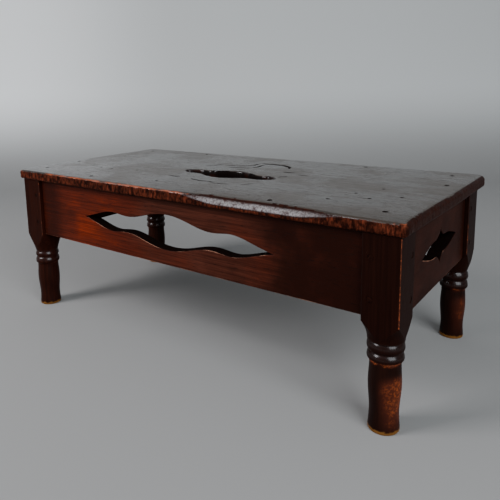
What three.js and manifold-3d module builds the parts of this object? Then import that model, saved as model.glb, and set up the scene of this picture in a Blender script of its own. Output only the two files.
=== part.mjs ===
// A joined footstool in oak: a nailed board top with a pierced hand hole, four legs turned from square stock,
// and four pierced friezes tenoned into the legs and held by draw pegs.
// Millimetres. The origin is on the floor under the middle of the stool: +X runs along its length,
// +Y towards its back and +Z up.
import * as THREE from 'three';
import { mergeVertices } from 'three/addons/utils/BufferGeometryUtils.js';
import Module from 'manifold-3d';

const wasm = await Module();
wasm.setup();

// Driving dimensions
const stool_height = 165;
const board = { length: 460, width: 217.5, thickness: 11.5, corner_radius: 4.5, edge_round: 2.8 };
const end_overhang = 6.4;
const side_overhang = 2.25;
const post_side = 28.6;
const side_frieze_height = 64;
const end_frieze_height = 66.5;
const frieze_thickness = 12;
const frieze_setback = 4;
const joint_clearance = 0.3;

// Joints: the web is the wood left in a post between a tenon's end and the tenon that crosses it
const tenon = { thickness: 6, web: 2.6, top_shoulder: 10, bottom_shoulder: 7 };
const peg = { diameter: 5, beyond_tenon: 4, from_tenon_edge: 8, chamfer: 0.8 };

// Hand-wrought nails: the wall is the wood between a nail in a post and the ends of the draw pegs
const nail = { head_diameter: 5, head_height: 1.4, shank_side: 2.4, tip_side: 0.9, length: 32, sink: 0.4 };
const nail_wall = 1.3;
const side_nail_at = 112;
const end_nail_at = 34;

// Piercings. Each is a quarter outline, mirrored about its centre lines. A run is a length along the slot,
// and the other sizes are half heights there. A tip's hold and fullness are shares of its run and height.
const side_piercing = {
  belly: 17, neck_run: 54, neck: 8, lobe_run: 21, lobe: 9.8, tip_run: 43, tip_hold: 0.58, tip_fullness: 0.37,
};
const hand_hole = {
  belly: 20, neck_run: 33, neck: 9.2, lobe_run: 9, lobe: 9.6, tip_run: 15, tip_hold: 0.87, tip_fullness: 0.62,
};
const hand_hole_centre = { x: 9, y: -16.5 };
const end_piercing = { peak: 14, notch_run: 13.5, notch: 7, tip_run: 34, tip_hold: 0.43, tip_fullness: 0.83 };

// Turned part of a leg, from its shoulder down. A depth is how far it is turned in below the post's flat
// sides, and "at" is a share of the shaft's height. The shoulder's lift is how far it runs up the post's
// corners, above the friezes' lower edges.
const shoulder = { height: 15.5, lift: 4.8 };
const collar = { height: 1.2, depth: 1.7 };
const ring = { half_height: 3.6, depth: 0.7, groove: 1.3, groove_depth: 2.5 };
const fillet = { height: 1.1, depth: 1.9 };
const neck = { at: 0.94, depth: 2.7 };
const swell = { at: 0.64, depth: 2 };
const waist = { at: 0.29, depth: 3.3 };
const foot = { depth: 2.5, edge_round: 1.2 };

// Facets
const turned_sides = 28;
const peg_sides = 10;
const nail_sides = 10;
const ring_steps = 5;
const shaft_steps = 8;
const shoulder_steps = 5;
const curve_steps = 6;

// Worked out from the driving dimensions
const board_underside = stool_height - board.thickness;
const post_top = board_underside - joint_clearance;
const half_length = board.length / 2 - end_overhang;
const half_width = board.width / 2 - side_overhang;
const side_frieze_bottom = post_top - side_frieze_height;
const end_frieze_bottom = post_top - end_frieze_height;
const side_clear_length = 2 * (half_length - post_side);
const end_clear_length = 2 * (half_width - post_side);
const tenon_near = frieze_setback + (frieze_thickness - tenon.thickness) / 2;
const tenon_far = tenon_near + tenon.thickness;
const tenon_top = post_top - tenon.top_shoulder;
const tenon_length = post_side - tenon_far - tenon.web;
const peg_length = tenon_far + peg.beyond_tenon;
const peg_inset = post_side - tenon_length / 2;

const finishes = {
  board: { color: 0x2e211b, roughness: 0.34, metalness: 0 },
  post: { color: 0x1c0f0a, roughness: 0.3, metalness: 0 },
  frieze: { color: 0x431c10, roughness: 0.38, metalness: 0 },
  peg: { color: 0x190d08, roughness: 0.5, metalness: 0 },
  nail: { color: 0x16120f, roughness: 0.6, metalness: 0.7 },
};

// A closed three.js geometry as a solid that can be cut and joined
function solid_of(geometry) {
  geometry.deleteAttribute('normal');
  geometry.deleteAttribute('uv');
  const merged = mergeVertices(geometry, 1e-4);
  const corners = merged.index.array;
  const triangles = [];
  for (let i = 0; i < corners.length; i += 3) {
    const [a, b, c] = corners.slice(i, i + 3);
    if (a !== b && b !== c && c !== a) triangles.push(a, b, c);
  }
  return new wasm.Manifold(new wasm.Mesh({
    numProp: 3,
    vertProperties: new Float32Array(merged.attributes.position.array),
    triVerts: new Uint32Array(triangles),
  }));
}

function mesh_of(name, solid, finish) {
  const { vertProperties, triVerts } = solid.getMesh();
  const geometry = new THREE.BufferGeometry();
  geometry.setAttribute('position', new THREE.BufferAttribute(vertProperties, 3));
  geometry.setIndex(new THREE.BufferAttribute(triVerts, 1));
  geometry.computeVertexNormals();
  const mesh = new THREE.Mesh(geometry, new THREE.MeshStandardMaterial(finish));
  mesh.name = name;
  return mesh;
}

// A box between two corners, which may be given in any order
function box_between(first, second) {
  const low = first.map((value, i) => Math.min(value, second[i]));
  const high = first.map((value, i) => Math.max(value, second[i]));
  const box = new THREE.BoxGeometry(...high.map((value, i) => value - low[i]));
  box.translate(...high.map((value, i) => (value + low[i]) / 2));
  return solid_of(box);
}

function cut_all(solid, cutters) {
  return cutters.reduce((rest, cutter) => rest.subtract(cutter), solid);
}

// A profile of radius and height, turned about the Z axis
function turned(profile, sides) {
  const geometry = new THREE.LatheGeometry(profile, sides);
  geometry.rotateX(Math.PI / 2);
  return geometry;
}

function point(x, y) {
  return new THREE.Vector2(x, y);
}

// Cubic curves laid end to end: a start, then two handles and an end for each curve
function points_along(start, ...curves) {
  const points = [point(...start)];
  for (const curve of curves) {
    const [first_handle, second_handle, end] = curve.map((pair) => point(...pair));
    const cubic = new THREE.CubicBezierCurve(points.at(-1), first_handle, second_handle, end);
    points.push(...cubic.getPoints(curve_steps).slice(1));
  }
  return points;
}

// A quarter outline, from above the centre to its tip, mirrored into the whole
function mirrored_outline(quarter) {
  const lower = quarter.slice(0, -1).reverse().map((p) => point(p.x, -p.y));
  const right = [...quarter, ...lower];
  const left = right.slice(1, -1).reverse().map((p) => point(-p.x, p.y));
  return [...right, ...left];
}

// A long slot with a full belly, a neck and a smaller lobe before each tip
function waisted_outline(slot) {
  const lobe_at = slot.neck_run + slot.lobe_run;
  const half_slot = lobe_at + slot.tip_run;
  return mirrored_outline(points_along(
    [0, slot.belly],
    [[slot.neck_run * 0.42, slot.belly], [slot.neck_run * 0.66, slot.neck], [slot.neck_run, slot.neck]],
    [
      [slot.neck_run + slot.lobe_run / 3, slot.neck],
      [lobe_at - slot.lobe_run / 3, slot.lobe],
      [lobe_at, slot.lobe],
    ],
    [
      [lobe_at + slot.tip_run * 0.3, slot.lobe],
      [lobe_at + slot.tip_run * slot.tip_hold, slot.lobe * slot.tip_fullness],
      [half_slot, 0],
    ],
  ));
}

// A short slot with a pointed peak, a notch beside it and a low lobe before each tip
function peaked_outline(slot) {
  const rise = slot.peak - slot.notch;
  return mirrored_outline(points_along(
    [0, slot.peak],
    [
      [slot.notch_run * 0.2, slot.notch + rise * 0.4],
      [slot.notch_run * 0.6, slot.notch],
      [slot.notch_run, slot.notch],
    ],
    [
      [slot.notch_run + slot.tip_run * 0.25, slot.notch],
      [slot.notch_run + slot.tip_run * slot.tip_hold, slot.notch * slot.tip_fullness],
      [slot.notch_run + slot.tip_run, 0],
    ],
  ));
}

// The two heights at which pegs cross a frieze's tenons
function peg_heights(frieze_bottom) {
  const tenon_bottom = frieze_bottom + tenon.bottom_shoulder;
  return { low: tenon_bottom + peg.from_tenon_edge, high: tenon_top - peg.from_tenon_edge };
}

// A draw peg along Z, its outer end at z = 0 and its bevelled end below, larger all over by a clearance
function peg_shape(clearance) {
  const radius = peg.diameter / 2 + clearance;
  const end = -peg_length - clearance;
  const mouth = clearance > 0 ? 1 : 0;
  return turned([
    point(0, end),
    point(radius - peg.chamfer, end),
    point(radius, end + 2 * peg.chamfer),
    point(radius, mouth),
    point(0, mouth),
  ], peg_sides);
}

// A peg in the post at one corner: through the side frieze's tenon along Y, or the end frieze's along X
function side_peg(corner, height, clearance) {
  const shape = peg_shape(clearance);
  shape.rotateX(-corner.y * Math.PI / 2);
  shape.translate(corner.x * (half_length - peg_inset), corner.y * half_width, height);
  return solid_of(shape);
}

function end_peg(corner, height, clearance) {
  const shape = peg_shape(clearance);
  shape.rotateY(corner.x * Math.PI / 2);
  shape.translate(corner.x * half_length, corner.y * (half_width - peg_inset), height);
  return solid_of(shape);
}

function side_peg_holes(corner) {
  return Object.values(peg_heights(side_frieze_bottom)).map((z) => side_peg(corner, z, joint_clearance));
}

function end_peg_holes(corner) {
  return Object.values(peg_heights(end_frieze_bottom)).map((z) => end_peg(corner, z, joint_clearance));
}

// A nail with a round head and a tapered square shank, larger all over by a clearance
function nail_at({ x, y }, clearance) {
  const top = stool_height - nail.sink;
  const head_radius = nail.head_diameter / 2 + clearance;
  const head_bottom = top - nail.head_height - clearance;
  const head_top = clearance > 0 ? stool_height + 1 : top;
  const head = new THREE.CylinderGeometry(head_radius, head_radius, head_top - head_bottom, nail_sides);
  head.rotateX(Math.PI / 2);
  head.translate(x, y, (head_top + head_bottom) / 2);
  const shank_bottom = top - nail.length - clearance;
  const shank_length = head_bottom + nail.head_height / 2 - shank_bottom;
  const shank = new THREE.CylinderGeometry(
    (nail.shank_side + 2 * clearance) * Math.SQRT1_2,
    (nail.tip_side + 2 * clearance) * Math.SQRT1_2,
    shank_length,
    4,
  );
  shank.rotateY(Math.PI / 4);
  shank.rotateX(Math.PI / 2);
  shank.translate(x, y, shank_bottom + shank_length / 2);
  return solid_of(head).add(solid_of(shank));
}

const corners = [
  { name: 'front_left', x: -1, y: -1 },
  { name: 'front_right', x: 1, y: -1 },
  { name: 'back_left', x: -1, y: 1 },
  { name: 'back_right', x: 1, y: 1 },
];
const post_nail_inset = peg_length + nail_wall + nail.shank_side / 2;
const side_nail_y = half_width - frieze_setback - frieze_thickness / 2;
const end_nail_x = half_length - frieze_setback - frieze_thickness / 2;
const nails = [
  ...corners.map(({ name, x, y }) => ({
    name: `nail_${name}_post`,
    x: x * (half_length - post_nail_inset),
    y: y * (half_width - post_nail_inset),
  })),
  { name: 'nail_front_frieze_left', x: -side_nail_at, y: -side_nail_y },
  { name: 'nail_front_frieze_right', x: side_nail_at, y: -side_nail_y },
  { name: 'nail_back_frieze_left', x: -side_nail_at, y: side_nail_y },
  { name: 'nail_back_frieze_right', x: side_nail_at, y: side_nail_y },
  { name: 'nail_left_frieze', x: -end_nail_x, y: -end_nail_at },
  { name: 'nail_right_frieze', x: end_nail_x, y: end_nail_at },
];
const nail_holes = nails.map((place) => nail_at(place, joint_clearance));

// The board: a plank with round edges and corners, pierced for the hand
function make_board() {
  const x = board.length / 2 - board.edge_round;
  const y = board.width / 2 - board.edge_round;
  const r = board.corner_radius - board.edge_round;
  const outline = new THREE.Shape();
  outline.absarc(x - r, y - r, r, 0, Math.PI / 2);
  outline.absarc(r - x, y - r, r, Math.PI / 2, Math.PI);
  outline.absarc(r - x, r - y, r, Math.PI, Math.PI * 1.5);
  outline.absarc(x - r, r - y, r, Math.PI * 1.5, Math.PI * 2);
  const plank = new THREE.ExtrudeGeometry(outline, {
    depth: board.thickness - 2 * board.edge_round,
    bevelSize: board.edge_round,
    bevelThickness: board.edge_round,
    bevelSegments: 2,
    curveSegments: 3,
  });
  plank.translate(0, 0, board_underside + board.edge_round);
  const opening = new THREE.ExtrudeGeometry(new THREE.Shape(waisted_outline(hand_hole)), {
    depth: board.thickness + 2,
    bevelEnabled: false,
  });
  opening.translate(hand_hole_centre.x, hand_hole_centre.y, board_underside - 1);
  return cut_all(solid_of(plank), [solid_of(opening), ...nail_holes]);
}

// Half the long section of a leg, from the floor up, as points of radius and height
function leg_profile() {
  const flat = post_side / 2;
  const arris = flat * Math.SQRT2;
  const shoulder_top = Math.min(side_frieze_bottom, end_frieze_bottom);
  const collar_top = shoulder_top - shoulder.height;
  const collar_bottom = collar_top - collar.height;
  const upper_ring = collar_bottom - ring.half_height;
  const lower_ring = upper_ring - 2 * ring.half_height - ring.groove;
  const fillet_top = lower_ring - ring.half_height;
  const shaft_top = fillet_top - fillet.height;
  const ring_arc = (height) => new THREE.EllipseCurve(
    flat - ring.groove_depth, height, ring.groove_depth - ring.depth, ring.half_height,
    -Math.PI / 2, Math.PI / 2).getPoints(ring_steps);
  const shaft = new THREE.SplineCurve([
    point(flat - foot.depth, foot.edge_round),
    ...[waist, swell, neck].map(({ at, depth }) => point(flat - depth, at * shaft_top)),
  ]);
  const rounding = new THREE.CubicBezierCurve(
    point(flat - collar.depth, collar_top),
    point(flat - collar.depth + 0.6, collar_top + shoulder.height * 0.31),
    point(flat + 0.5, collar_top + shoulder.height * 0.66),
    point(arris, shoulder_top + shoulder.lift),
  );
  return [
    point(0, 0),
    point(flat - foot.depth - foot.edge_round, 0),
    point(flat - foot.depth - 0.3 * foot.edge_round, 0.3 * foot.edge_round),
    ...shaft.getPoints(shaft_steps),
    point(flat - neck.depth, shaft_top),
    point(flat - fillet.depth, shaft_top + fillet.height / 3),
    point(flat - fillet.depth, fillet_top),
    ...ring_arc(lower_ring),
    ...ring_arc(upper_ring),
    point(flat - collar.depth, collar_bottom),
    ...rounding.getPoints(shoulder_steps),
    point(arris * 1.02, shoulder_top + shoulder.lift + 1),
    point(arris * 1.02, post_top),
    point(0, post_top),
  ];
}

// A leg: the turned section kept where it lies inside the square post, with two mortises and its holes
function make_leg(corner) {
  const at = (from_end, from_side, height) => [
    corner.x * (half_length - from_end),
    corner.y * (half_width - from_side),
    height,
  ];
  const round = turned(leg_profile(), turned_sides);
  round.translate(...at(post_side / 2, post_side / 2, 0));
  const square = box_between(at(0, 0, 0), at(post_side, post_side, post_top));
  const near = tenon_near - joint_clearance;
  const far = tenon_far + joint_clearance;
  const mortise_end = post_side - tenon_length - joint_clearance;
  const mortise_top = tenon_top + joint_clearance;
  const side_mortise_bottom = side_frieze_bottom + tenon.bottom_shoulder - joint_clearance;
  const end_mortise_bottom = end_frieze_bottom + tenon.bottom_shoulder - joint_clearance;
  return cut_all(solid_of(round).intersect(square), [
    box_between(at(mortise_end, near, side_mortise_bottom), at(post_side + 1, far, mortise_top)),
    box_between(at(near, mortise_end, end_mortise_bottom), at(far, post_side + 1, mortise_top)),
    ...side_peg_holes(corner),
    ...end_peg_holes(corner),
    ...nail_holes,
  ]);
}

// A frieze along X, its outer face at y = 0: a pierced board with a tenon at each end
function frieze_blank(clear_length, bottom, outline) {
  const reach = clear_length / 2 - joint_clearance;
  const middle = (bottom + post_top) / 2;
  const face = new THREE.Shape([
    point(-reach, bottom),
    point(reach, bottom),
    point(reach, post_top),
    point(-reach, post_top),
  ]);
  face.holes.push(new THREE.Path(outline.map((p) => point(p.x, p.y + middle))));
  const panel = new THREE.ExtrudeGeometry(face, { depth: frieze_thickness, bevelEnabled: false });
  panel.rotateX(Math.PI / 2);
  panel.translate(0, frieze_thickness, 0);
  const near = tenon_near - frieze_setback;
  const tenons = [-1, 1].map((side) => box_between(
    [side * (reach - 1), near, bottom + tenon.bottom_shoulder],
    [side * (clear_length / 2 + tenon_length), near + tenon.thickness, tenon_top],
  ));
  return solid_of(panel).add(tenons[0]).add(tenons[1]);
}

function make_side_frieze(side) {
  const placed = frieze_blank(side_clear_length, side_frieze_bottom, waisted_outline(side_piercing))
    .rotate([0, 0, side < 0 ? 0 : 180])
    .translate([0, side * (half_width - frieze_setback), 0]);
  const peg_holes = corners.filter(({ y }) => y === side).flatMap(side_peg_holes);
  return cut_all(placed, [...peg_holes, ...nail_holes]);
}

function make_end_frieze(side) {
  const placed = frieze_blank(end_clear_length, end_frieze_bottom, peaked_outline(end_piercing))
    .rotate([0, 0, side < 0 ? -90 : 90])
    .translate([side * (half_length - frieze_setback), 0, 0]);
  const peg_holes = corners.filter(({ x }) => x === side).flatMap(end_peg_holes);
  return cut_all(placed, [...peg_holes, ...nail_holes]);
}

const footstool = new THREE.Group();
footstool.name = 'footstool';
footstool.add(mesh_of('top_board', make_board(), finishes.board));
footstool.add(mesh_of('front_frieze', make_side_frieze(-1), finishes.frieze));
footstool.add(mesh_of('back_frieze', make_side_frieze(1), finishes.frieze));
footstool.add(mesh_of('left_frieze', make_end_frieze(-1), finishes.frieze));
footstool.add(mesh_of('right_frieze', make_end_frieze(1), finishes.frieze));
for (const corner of corners) {
  footstool.add(mesh_of(`leg_${corner.name}`, make_leg(corner), finishes.post));
  for (const [level, z] of Object.entries(peg_heights(side_frieze_bottom))) {
    footstool.add(mesh_of(`peg_${corner.name}_side_${level}`, side_peg(corner, z, 0), finishes.peg));
  }
  for (const [level, z] of Object.entries(peg_heights(end_frieze_bottom))) {
    footstool.add(mesh_of(`peg_${corner.name}_end_${level}`, end_peg(corner, z, 0), finishes.peg));
  }
}
for (const place of nails) {
  footstool.add(mesh_of(place.name, nail_at(place, 0), finishes.nail));
}

export default footstool;
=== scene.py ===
# %% [markdown]
# # A joined footstool in old oak
# The stool is a nailed board top, four legs turned from square stock, and four pierced boards, the friezes,
# that are tenoned into the legs and held by draw pegs. The construction model gives every piece its place
# and size. This lesson builds each piece again with soft arrises, smooth turning and worn edges, and gives
# it the dark, waxed, much-handled finish that such a stool has after centuries of use.

# %% Load the frame
import math

import bmesh
import bpy
from mathutils import Matrix, Vector, noise
from mathutils.geometry import interpolate_bezier


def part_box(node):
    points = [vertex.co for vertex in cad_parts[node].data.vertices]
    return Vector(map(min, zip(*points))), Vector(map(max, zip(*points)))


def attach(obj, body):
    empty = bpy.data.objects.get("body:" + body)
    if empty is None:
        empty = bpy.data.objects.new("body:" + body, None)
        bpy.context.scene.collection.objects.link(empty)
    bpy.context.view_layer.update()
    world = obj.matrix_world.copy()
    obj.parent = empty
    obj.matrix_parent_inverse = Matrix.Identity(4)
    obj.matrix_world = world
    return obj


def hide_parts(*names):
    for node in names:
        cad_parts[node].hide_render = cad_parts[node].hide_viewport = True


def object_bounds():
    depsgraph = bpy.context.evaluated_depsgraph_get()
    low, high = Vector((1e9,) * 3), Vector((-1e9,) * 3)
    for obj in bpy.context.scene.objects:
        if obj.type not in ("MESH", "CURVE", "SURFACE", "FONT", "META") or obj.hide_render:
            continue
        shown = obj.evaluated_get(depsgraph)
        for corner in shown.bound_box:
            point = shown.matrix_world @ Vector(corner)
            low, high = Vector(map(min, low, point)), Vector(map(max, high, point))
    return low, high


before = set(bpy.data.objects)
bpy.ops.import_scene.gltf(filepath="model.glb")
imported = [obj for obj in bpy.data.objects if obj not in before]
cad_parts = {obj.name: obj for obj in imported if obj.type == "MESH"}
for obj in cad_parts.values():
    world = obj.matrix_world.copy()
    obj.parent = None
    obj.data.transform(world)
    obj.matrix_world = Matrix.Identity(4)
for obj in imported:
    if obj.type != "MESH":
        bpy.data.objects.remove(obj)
cad_low, cad_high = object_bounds()
cad_size = tuple(round(side, 4) for side in cad_high - cad_low)
print("construction model:", len(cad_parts), "nodes, size", cad_size)

# %% [markdown]
# ## Sizes
# Every overall size comes from the frame. The construction model can't be asked for the curve of a piercing
# or the profile of a turning, so those few sizes are repeated here, under the names a joiner would use.
# Curves are given in millimetres, and everything else in metres.

# %% Sizes that the frame gives
mm = 0.001
board_low, board_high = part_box("top_board")
leg_low, leg_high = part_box("leg_front_right")
post_side = leg_high.x - leg_low.x
half_post = post_side / 2
leg_centre = Vector(((leg_low.x + leg_high.x) / 2, (leg_high.y - leg_low.y) / 2 - leg_high.y, 0))
post_top = leg_high.z
print("post", round(post_side / mm, 2), "mm square, leg centre", tuple(round(c, 4) for c in leg_centre))

# %% Sizes of the joints, piercings and turning
joint_clearance = 0.3 * mm
frieze_thickness = 12 * mm
frieze_setback = 4 * mm
frieze_rounding = 0.85 * mm
post_rounding = 0.9 * mm
board_corner = 5 * mm
peg_radius = 2.5 * mm
nail_hole_radius = 1.9 * mm
tenon = {"thickness": 6 * mm, "web": 2.6 * mm, "top_shoulder": 10 * mm, "bottom_shoulder": 7 * mm}
side_piercing = {"belly": 17, "neck_run": 54, "neck": 8, "lobe_run": 21, "lobe": 9.8,
                 "tip_run": 43, "tip_hold": 0.58, "tip_fullness": 0.37}
hand_hole = {"belly": 20, "neck_run": 33, "neck": 9.2, "lobe_run": 9, "lobe": 9.6,
             "tip_run": 15, "tip_hold": 0.87, "tip_fullness": 0.62}
hand_hole_centre = Vector((9 * mm, -16.5 * mm))
end_piercing = {"peak": 14, "notch_run": 13.5, "notch": 7,
                "tip_run": 34, "tip_hold": 0.43, "tip_fullness": 0.83}
fillet_depth = 1.9 * mm
shaft_depths = ((0.94, 2.7 * mm), (0.64, 2 * mm), (0.29, 3.3 * mm))
foot = {"depth": 2.5 * mm, "edge_round": 1.2 * mm}
print("piercings are", 2 * side_piercing["belly"], "and", 2 * end_piercing["peak"], "mm high in the middle")

# %% Sizes of the four turnings
# Each leg was turned by eye. In millimetres: the shoulder as curve points of radius and height, the two
# rings as middle, half height and radius, and the top of the shaft. The shoulder ends out at the post's
# corners.
post_corner = round(half_post / mm * math.sqrt(2), 2)
turnings = {
    "front_right": {"shoulder": ((13.7, 71.9), (13.9, 76), (15.2, 80.5), (post_corner, 87.5)),
                    "rings": ((59.7, 3.1, 14.0), (68.0, 3.9, 14.2)), "shaft_top": 55.4, "girth": 1.0},
    "front_left": {"shoulder": ((12.9, 68.6), (13.8, 73), (16.8, 81), (post_corner, 88.5)),
                   "rings": ((55.5, 3.5, 13.8), (63.2, 2.6, 13.5)), "shaft_top": 51.2, "girth": 1.0},
    "back_right": {"shoulder": ((12.7, 70.6), (13.2, 75), (14.6, 80), (post_corner, 91.5)),
                   "rings": ((56.4, 4.1, 14.1), (65.8, 4.1, 14.1)), "shaft_top": 51.6, "girth": 0.96},
    "back_left": {"shoulder": ((12.9, 69.6), (13.5, 74), (15.5, 80), (post_corner, 90.5)),
                  "rings": ((56.2, 3.6, 13.7), (64.7, 3.6, 13.7)), "shaft_top": 51.9, "girth": 0.99},
}
for corner, turning in turnings.items():
    print(corner, "leg: rings at", [ring[0] for ring in turning["rings"]], "mm")

# %% [markdown]
# ## Camera
# The photograph was taken with a wide lens from close by, a little above the stool, looking past its front
# right corner. The stool isn't in the middle of the picture, so the lens is shifted to frame it.

# %% Camera
picture_side = 500
focal_pixels = 534.4
principal_point = Vector((226.3, 172.8))
camera_place = Vector((0.3413, -0.4525, 0.2577))
camera_yaw, camera_pitch, camera_roll = (math.radians(a) for a in (37.49, 9.454, -1.196))
camera_data = bpy.data.cameras.new("camera")
camera_data.sensor_width = 36
camera_data.lens = focal_pixels / picture_side * camera_data.sensor_width
camera_data.shift_x = 0.5 - principal_point.x / picture_side
camera_data.shift_y = principal_point.y / picture_side - 0.5
camera_data.clip_start = 0.01
camera = bpy.data.objects.new("camera", camera_data)
bpy.context.scene.collection.objects.link(camera)
turn = Matrix.Rotation(camera_yaw, 4, "Z") @ Matrix.Rotation(math.pi / 2 - camera_pitch, 4, "X")
camera.matrix_world = Matrix.Translation(camera_place) @ turn @ Matrix.Rotation(camera_roll, 4, "Z")
bpy.context.scene.camera = camera
print("lens", round(camera_data.lens, 2), "mm")

# %% [markdown]
# ## Shader helpers
# A material is a small network of nodes. These helpers place a node, set its inputs and link what is
# another node's output, so each finish below can be read as a list of steps. They stand before the studio
# because its paper is a material too.

# %% Node helpers


def add(tree, kind, inputs=None, **settings):
    """Place a node, set its settings, then fill its inputs with values or with other nodes' outputs."""
    made = tree.nodes.new(kind)
    for name, value in settings.items():
        setattr(made, name, value)
    for name, value in (inputs or {}).items():
        if isinstance(value, bpy.types.NodeSocket):
            tree.links.new(value, made.inputs[name])
        else:
            made.inputs[name].default_value = value
    return made


def maths(tree, operation, *values):
    """One sum on numbers, with its result."""
    return add(tree, "ShaderNodeMath", dict(enumerate(values)), operation=operation).outputs["Value"]


def ramp(tree, value, low, high, to_low=0.0, to_high=1.0):
    """Ease a value from one range into another, stopping at its ends."""
    inputs = {"Value": value, "From Min": low, "From Max": high, "To Min": to_low, "To Max": to_high}
    return add(tree, "ShaderNodeMapRange", inputs, interpolation_type="SMOOTHSTEP").outputs["Result"]


# %% Colour and pattern helpers


def mixed(tree, share, first, second):
    """Two colours mixed by a share."""
    first, second = (c if isinstance(c, bpy.types.NodeSocket) else (*c, 1) for c in (first, second))
    inputs = {"Factor": share, "A": first, "B": second}
    return add(tree, "ShaderNodeMix", inputs, data_type="RGBA").outputs["Result"]


def scaled(tree, vector, scale):
    """A vector stretched along its axes."""
    return add(tree, "ShaderNodeMapping", {"Vector": vector, "Scale": scale}).outputs["Vector"]


def noise_texture(tree, vector, scale, detail, roughness=0.5, distortion=0.0):
    """Soft noise from 0 to 1, read at a vector."""
    inputs = {"Vector": vector, "Scale": scale, "Detail": detail, "Roughness": roughness,
              "Distortion": distortion}
    return add(tree, "ShaderNodeTexNoise", inputs).outputs["Fac"]


# %% Group helpers


def group(name, inputs, outputs):
    """A new shader group with number, vector or colour sockets, and its two end nodes."""
    tree = bpy.data.node_groups.new(name, "ShaderNodeTree")
    kinds = {"number": "NodeSocketFloat", "vector": "NodeSocketVector", "colour": "NodeSocketColor"}
    for direction, sockets in (("INPUT", inputs), ("OUTPUT", outputs)):
        for socket_name, kind, *default in sockets:
            made = tree.interface.new_socket(socket_name, in_out=direction, socket_type=kinds[kind])
            if default:
                made.default_value = default[0]
    return tree, tree.nodes.new("NodeGroupInput"), tree.nodes.new("NodeGroupOutput")


def place_group(tree, shared, inputs):
    """The outputs of a shared group that is placed in a material with its inputs filled."""
    return add(tree, "ShaderNodeGroup", inputs, node_tree=shared).outputs


# %% Material helpers


def new_finish(name, roughness, specular, coat_roughness=0.12):
    """A material with a Principled shader, whose plain numbers are set on its own sockets."""
    made = bpy.data.materials.new(name)
    made.use_nodes = True
    shader = made.node_tree.nodes["Principled BSDF"]
    shader.inputs["Roughness"].default_value = roughness
    shader.inputs["Specular IOR Level"].default_value = specular
    shader.inputs["Coat Roughness"].default_value = coat_roughness
    return made, made.node_tree, shader


def object_place(tree):
    """Object coordinates, which stay with a piece as it moves."""
    return add(tree, "ShaderNodeTexCoord").outputs["Object"]


def parts_of(tree, vector):
    """The X, Y and Z of a vector."""
    return add(tree, "ShaderNodeSeparateXYZ", {"Vector": vector}).outputs


# %% [markdown]
# ## Studio
# A pale sweep runs from the floor up behind the stool, as a photographer's paper does. The polished board
# is seen at a low angle, so it mirrors that wall and turns from brown to grey. A large soft lamp stands to
# the right, where a window would be, a second one at the left picks out the long frieze and the worn front
# edge, and the room is lighter above than it is low down, so the dark posts stay dark.

# %% Sweep


def sweep():
    """A floor that curves up into a wall behind the stool, square to the camera's view."""
    bm = bmesh.new()
    behind, bend, height, half_width, front = 0.75, 0.45, 2.6, 5.0, -5.0
    steps = 12
    line = [(front, 0.0)]
    for i in range(steps + 1):
        angle = math.pi / 2 * i / steps
        line.append((behind + bend * math.sin(angle), bend * (1 - math.cos(angle))))
    line.append((behind + bend, height))
    verts = [bm.verts.new((-half_width, along, up)) for along, up in line]
    edges = [bm.edges.new(pair) for pair in zip(verts, verts[1:])]
    grown = bmesh.ops.extrude_edge_only(bm, edges=edges)
    moved = [v for v in grown["geom"] if isinstance(v, bmesh.types.BMVert)]
    bmesh.ops.translate(bm, verts=moved, vec=(2 * half_width, 0, 0))
    bmesh.ops.rotate(bm, verts=bm.verts[:], cent=(0, 0, 0), matrix=Matrix.Rotation(camera_yaw, 3, "Z"))
    bmesh.ops.recalc_face_normals(bm, faces=bm.faces[:])
    mesh = bpy.data.meshes.new("paper_sweep")
    bm.to_mesh(mesh)
    bm.free()
    mesh.polygons.foreach_set("use_smooth", [True] * len(mesh.polygons))
    made = bpy.data.objects.new("paper_sweep", mesh)
    bpy.context.scene.collection.objects.link(made)
    return made


floor = sweep()
print(floor.name, "has", len(floor.data.polygons), "faces")

# %% Paper
paper_grey, wall_grey, wall_pale = (0.25, 0.246, 0.238), (0.57, 0.58, 0.57), (0.98, 0.99, 0.98)
wall_rise = 0.25
pale_from, pale_to = -0.12, -0.78


def paper():
    """Matt paper, grey on the floor, paler where it rises into the wall, and palest at the wall's left."""
    made, tree, shader = new_finish("paper", 0.9, 0.1)
    place = object_place(tree)
    rightwards = (math.cos(camera_yaw), math.sin(camera_yaw), 0)
    across = add(tree, "ShaderNodeVectorMath", {0: place, 1: rightwards}, operation="DOT_PRODUCT")
    wall = mixed(tree, ramp(tree, across.outputs["Value"], pale_from, pale_to), wall_grey, wall_pale)
    colour = mixed(tree, ramp(tree, parts_of(tree, place)["Z"], 0.0, wall_rise), paper_grey, wall)
    tree.links.new(colour, shader.inputs["Base Color"])
    return made


floor.data.materials.append(paper())
print(floor.name, "is covered with", floor.data.materials[0].name)

# %% Room light
room_colour = (0.86, 0.93, 1, 1)
room_low, room_high = 0.16, 0.52
world = bpy.data.worlds.new("studio")
world.use_nodes = True
background = world.node_tree.nodes["Background"]
background.inputs["Color"].default_value = room_colour
toward = add(world.node_tree, "ShaderNodeTexCoord").outputs["Generated"]
fade = add(world.node_tree, "ShaderNodeMapRange",
           {"Value": parts_of(world.node_tree, toward)["Z"], "To Min": room_low, "To Max": room_high})
world.node_tree.links.new(fade.outputs["Result"], background.inputs["Strength"])
bpy.context.scene.world = world
print("room light from", room_low, "low down to", room_high, "overhead")

# %% Lamps


def lamp(name, place, aim, width, height, power, colour):
    """A softbox that faces a point on the stool."""
    data = bpy.data.lights.new(name, "AREA")
    data.shape = "RECTANGLE"
    data.size, data.size_y = width, height
    data.energy = power
    data.color = colour
    made = bpy.data.objects.new(name, data)
    bpy.context.scene.collection.objects.link(made)
    made.location = place
    made.rotation_euler = (Vector(aim) - Vector(place)).to_track_quat("-Z", "Y").to_euler()
    print(name, "gives", power, "W")


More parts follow.
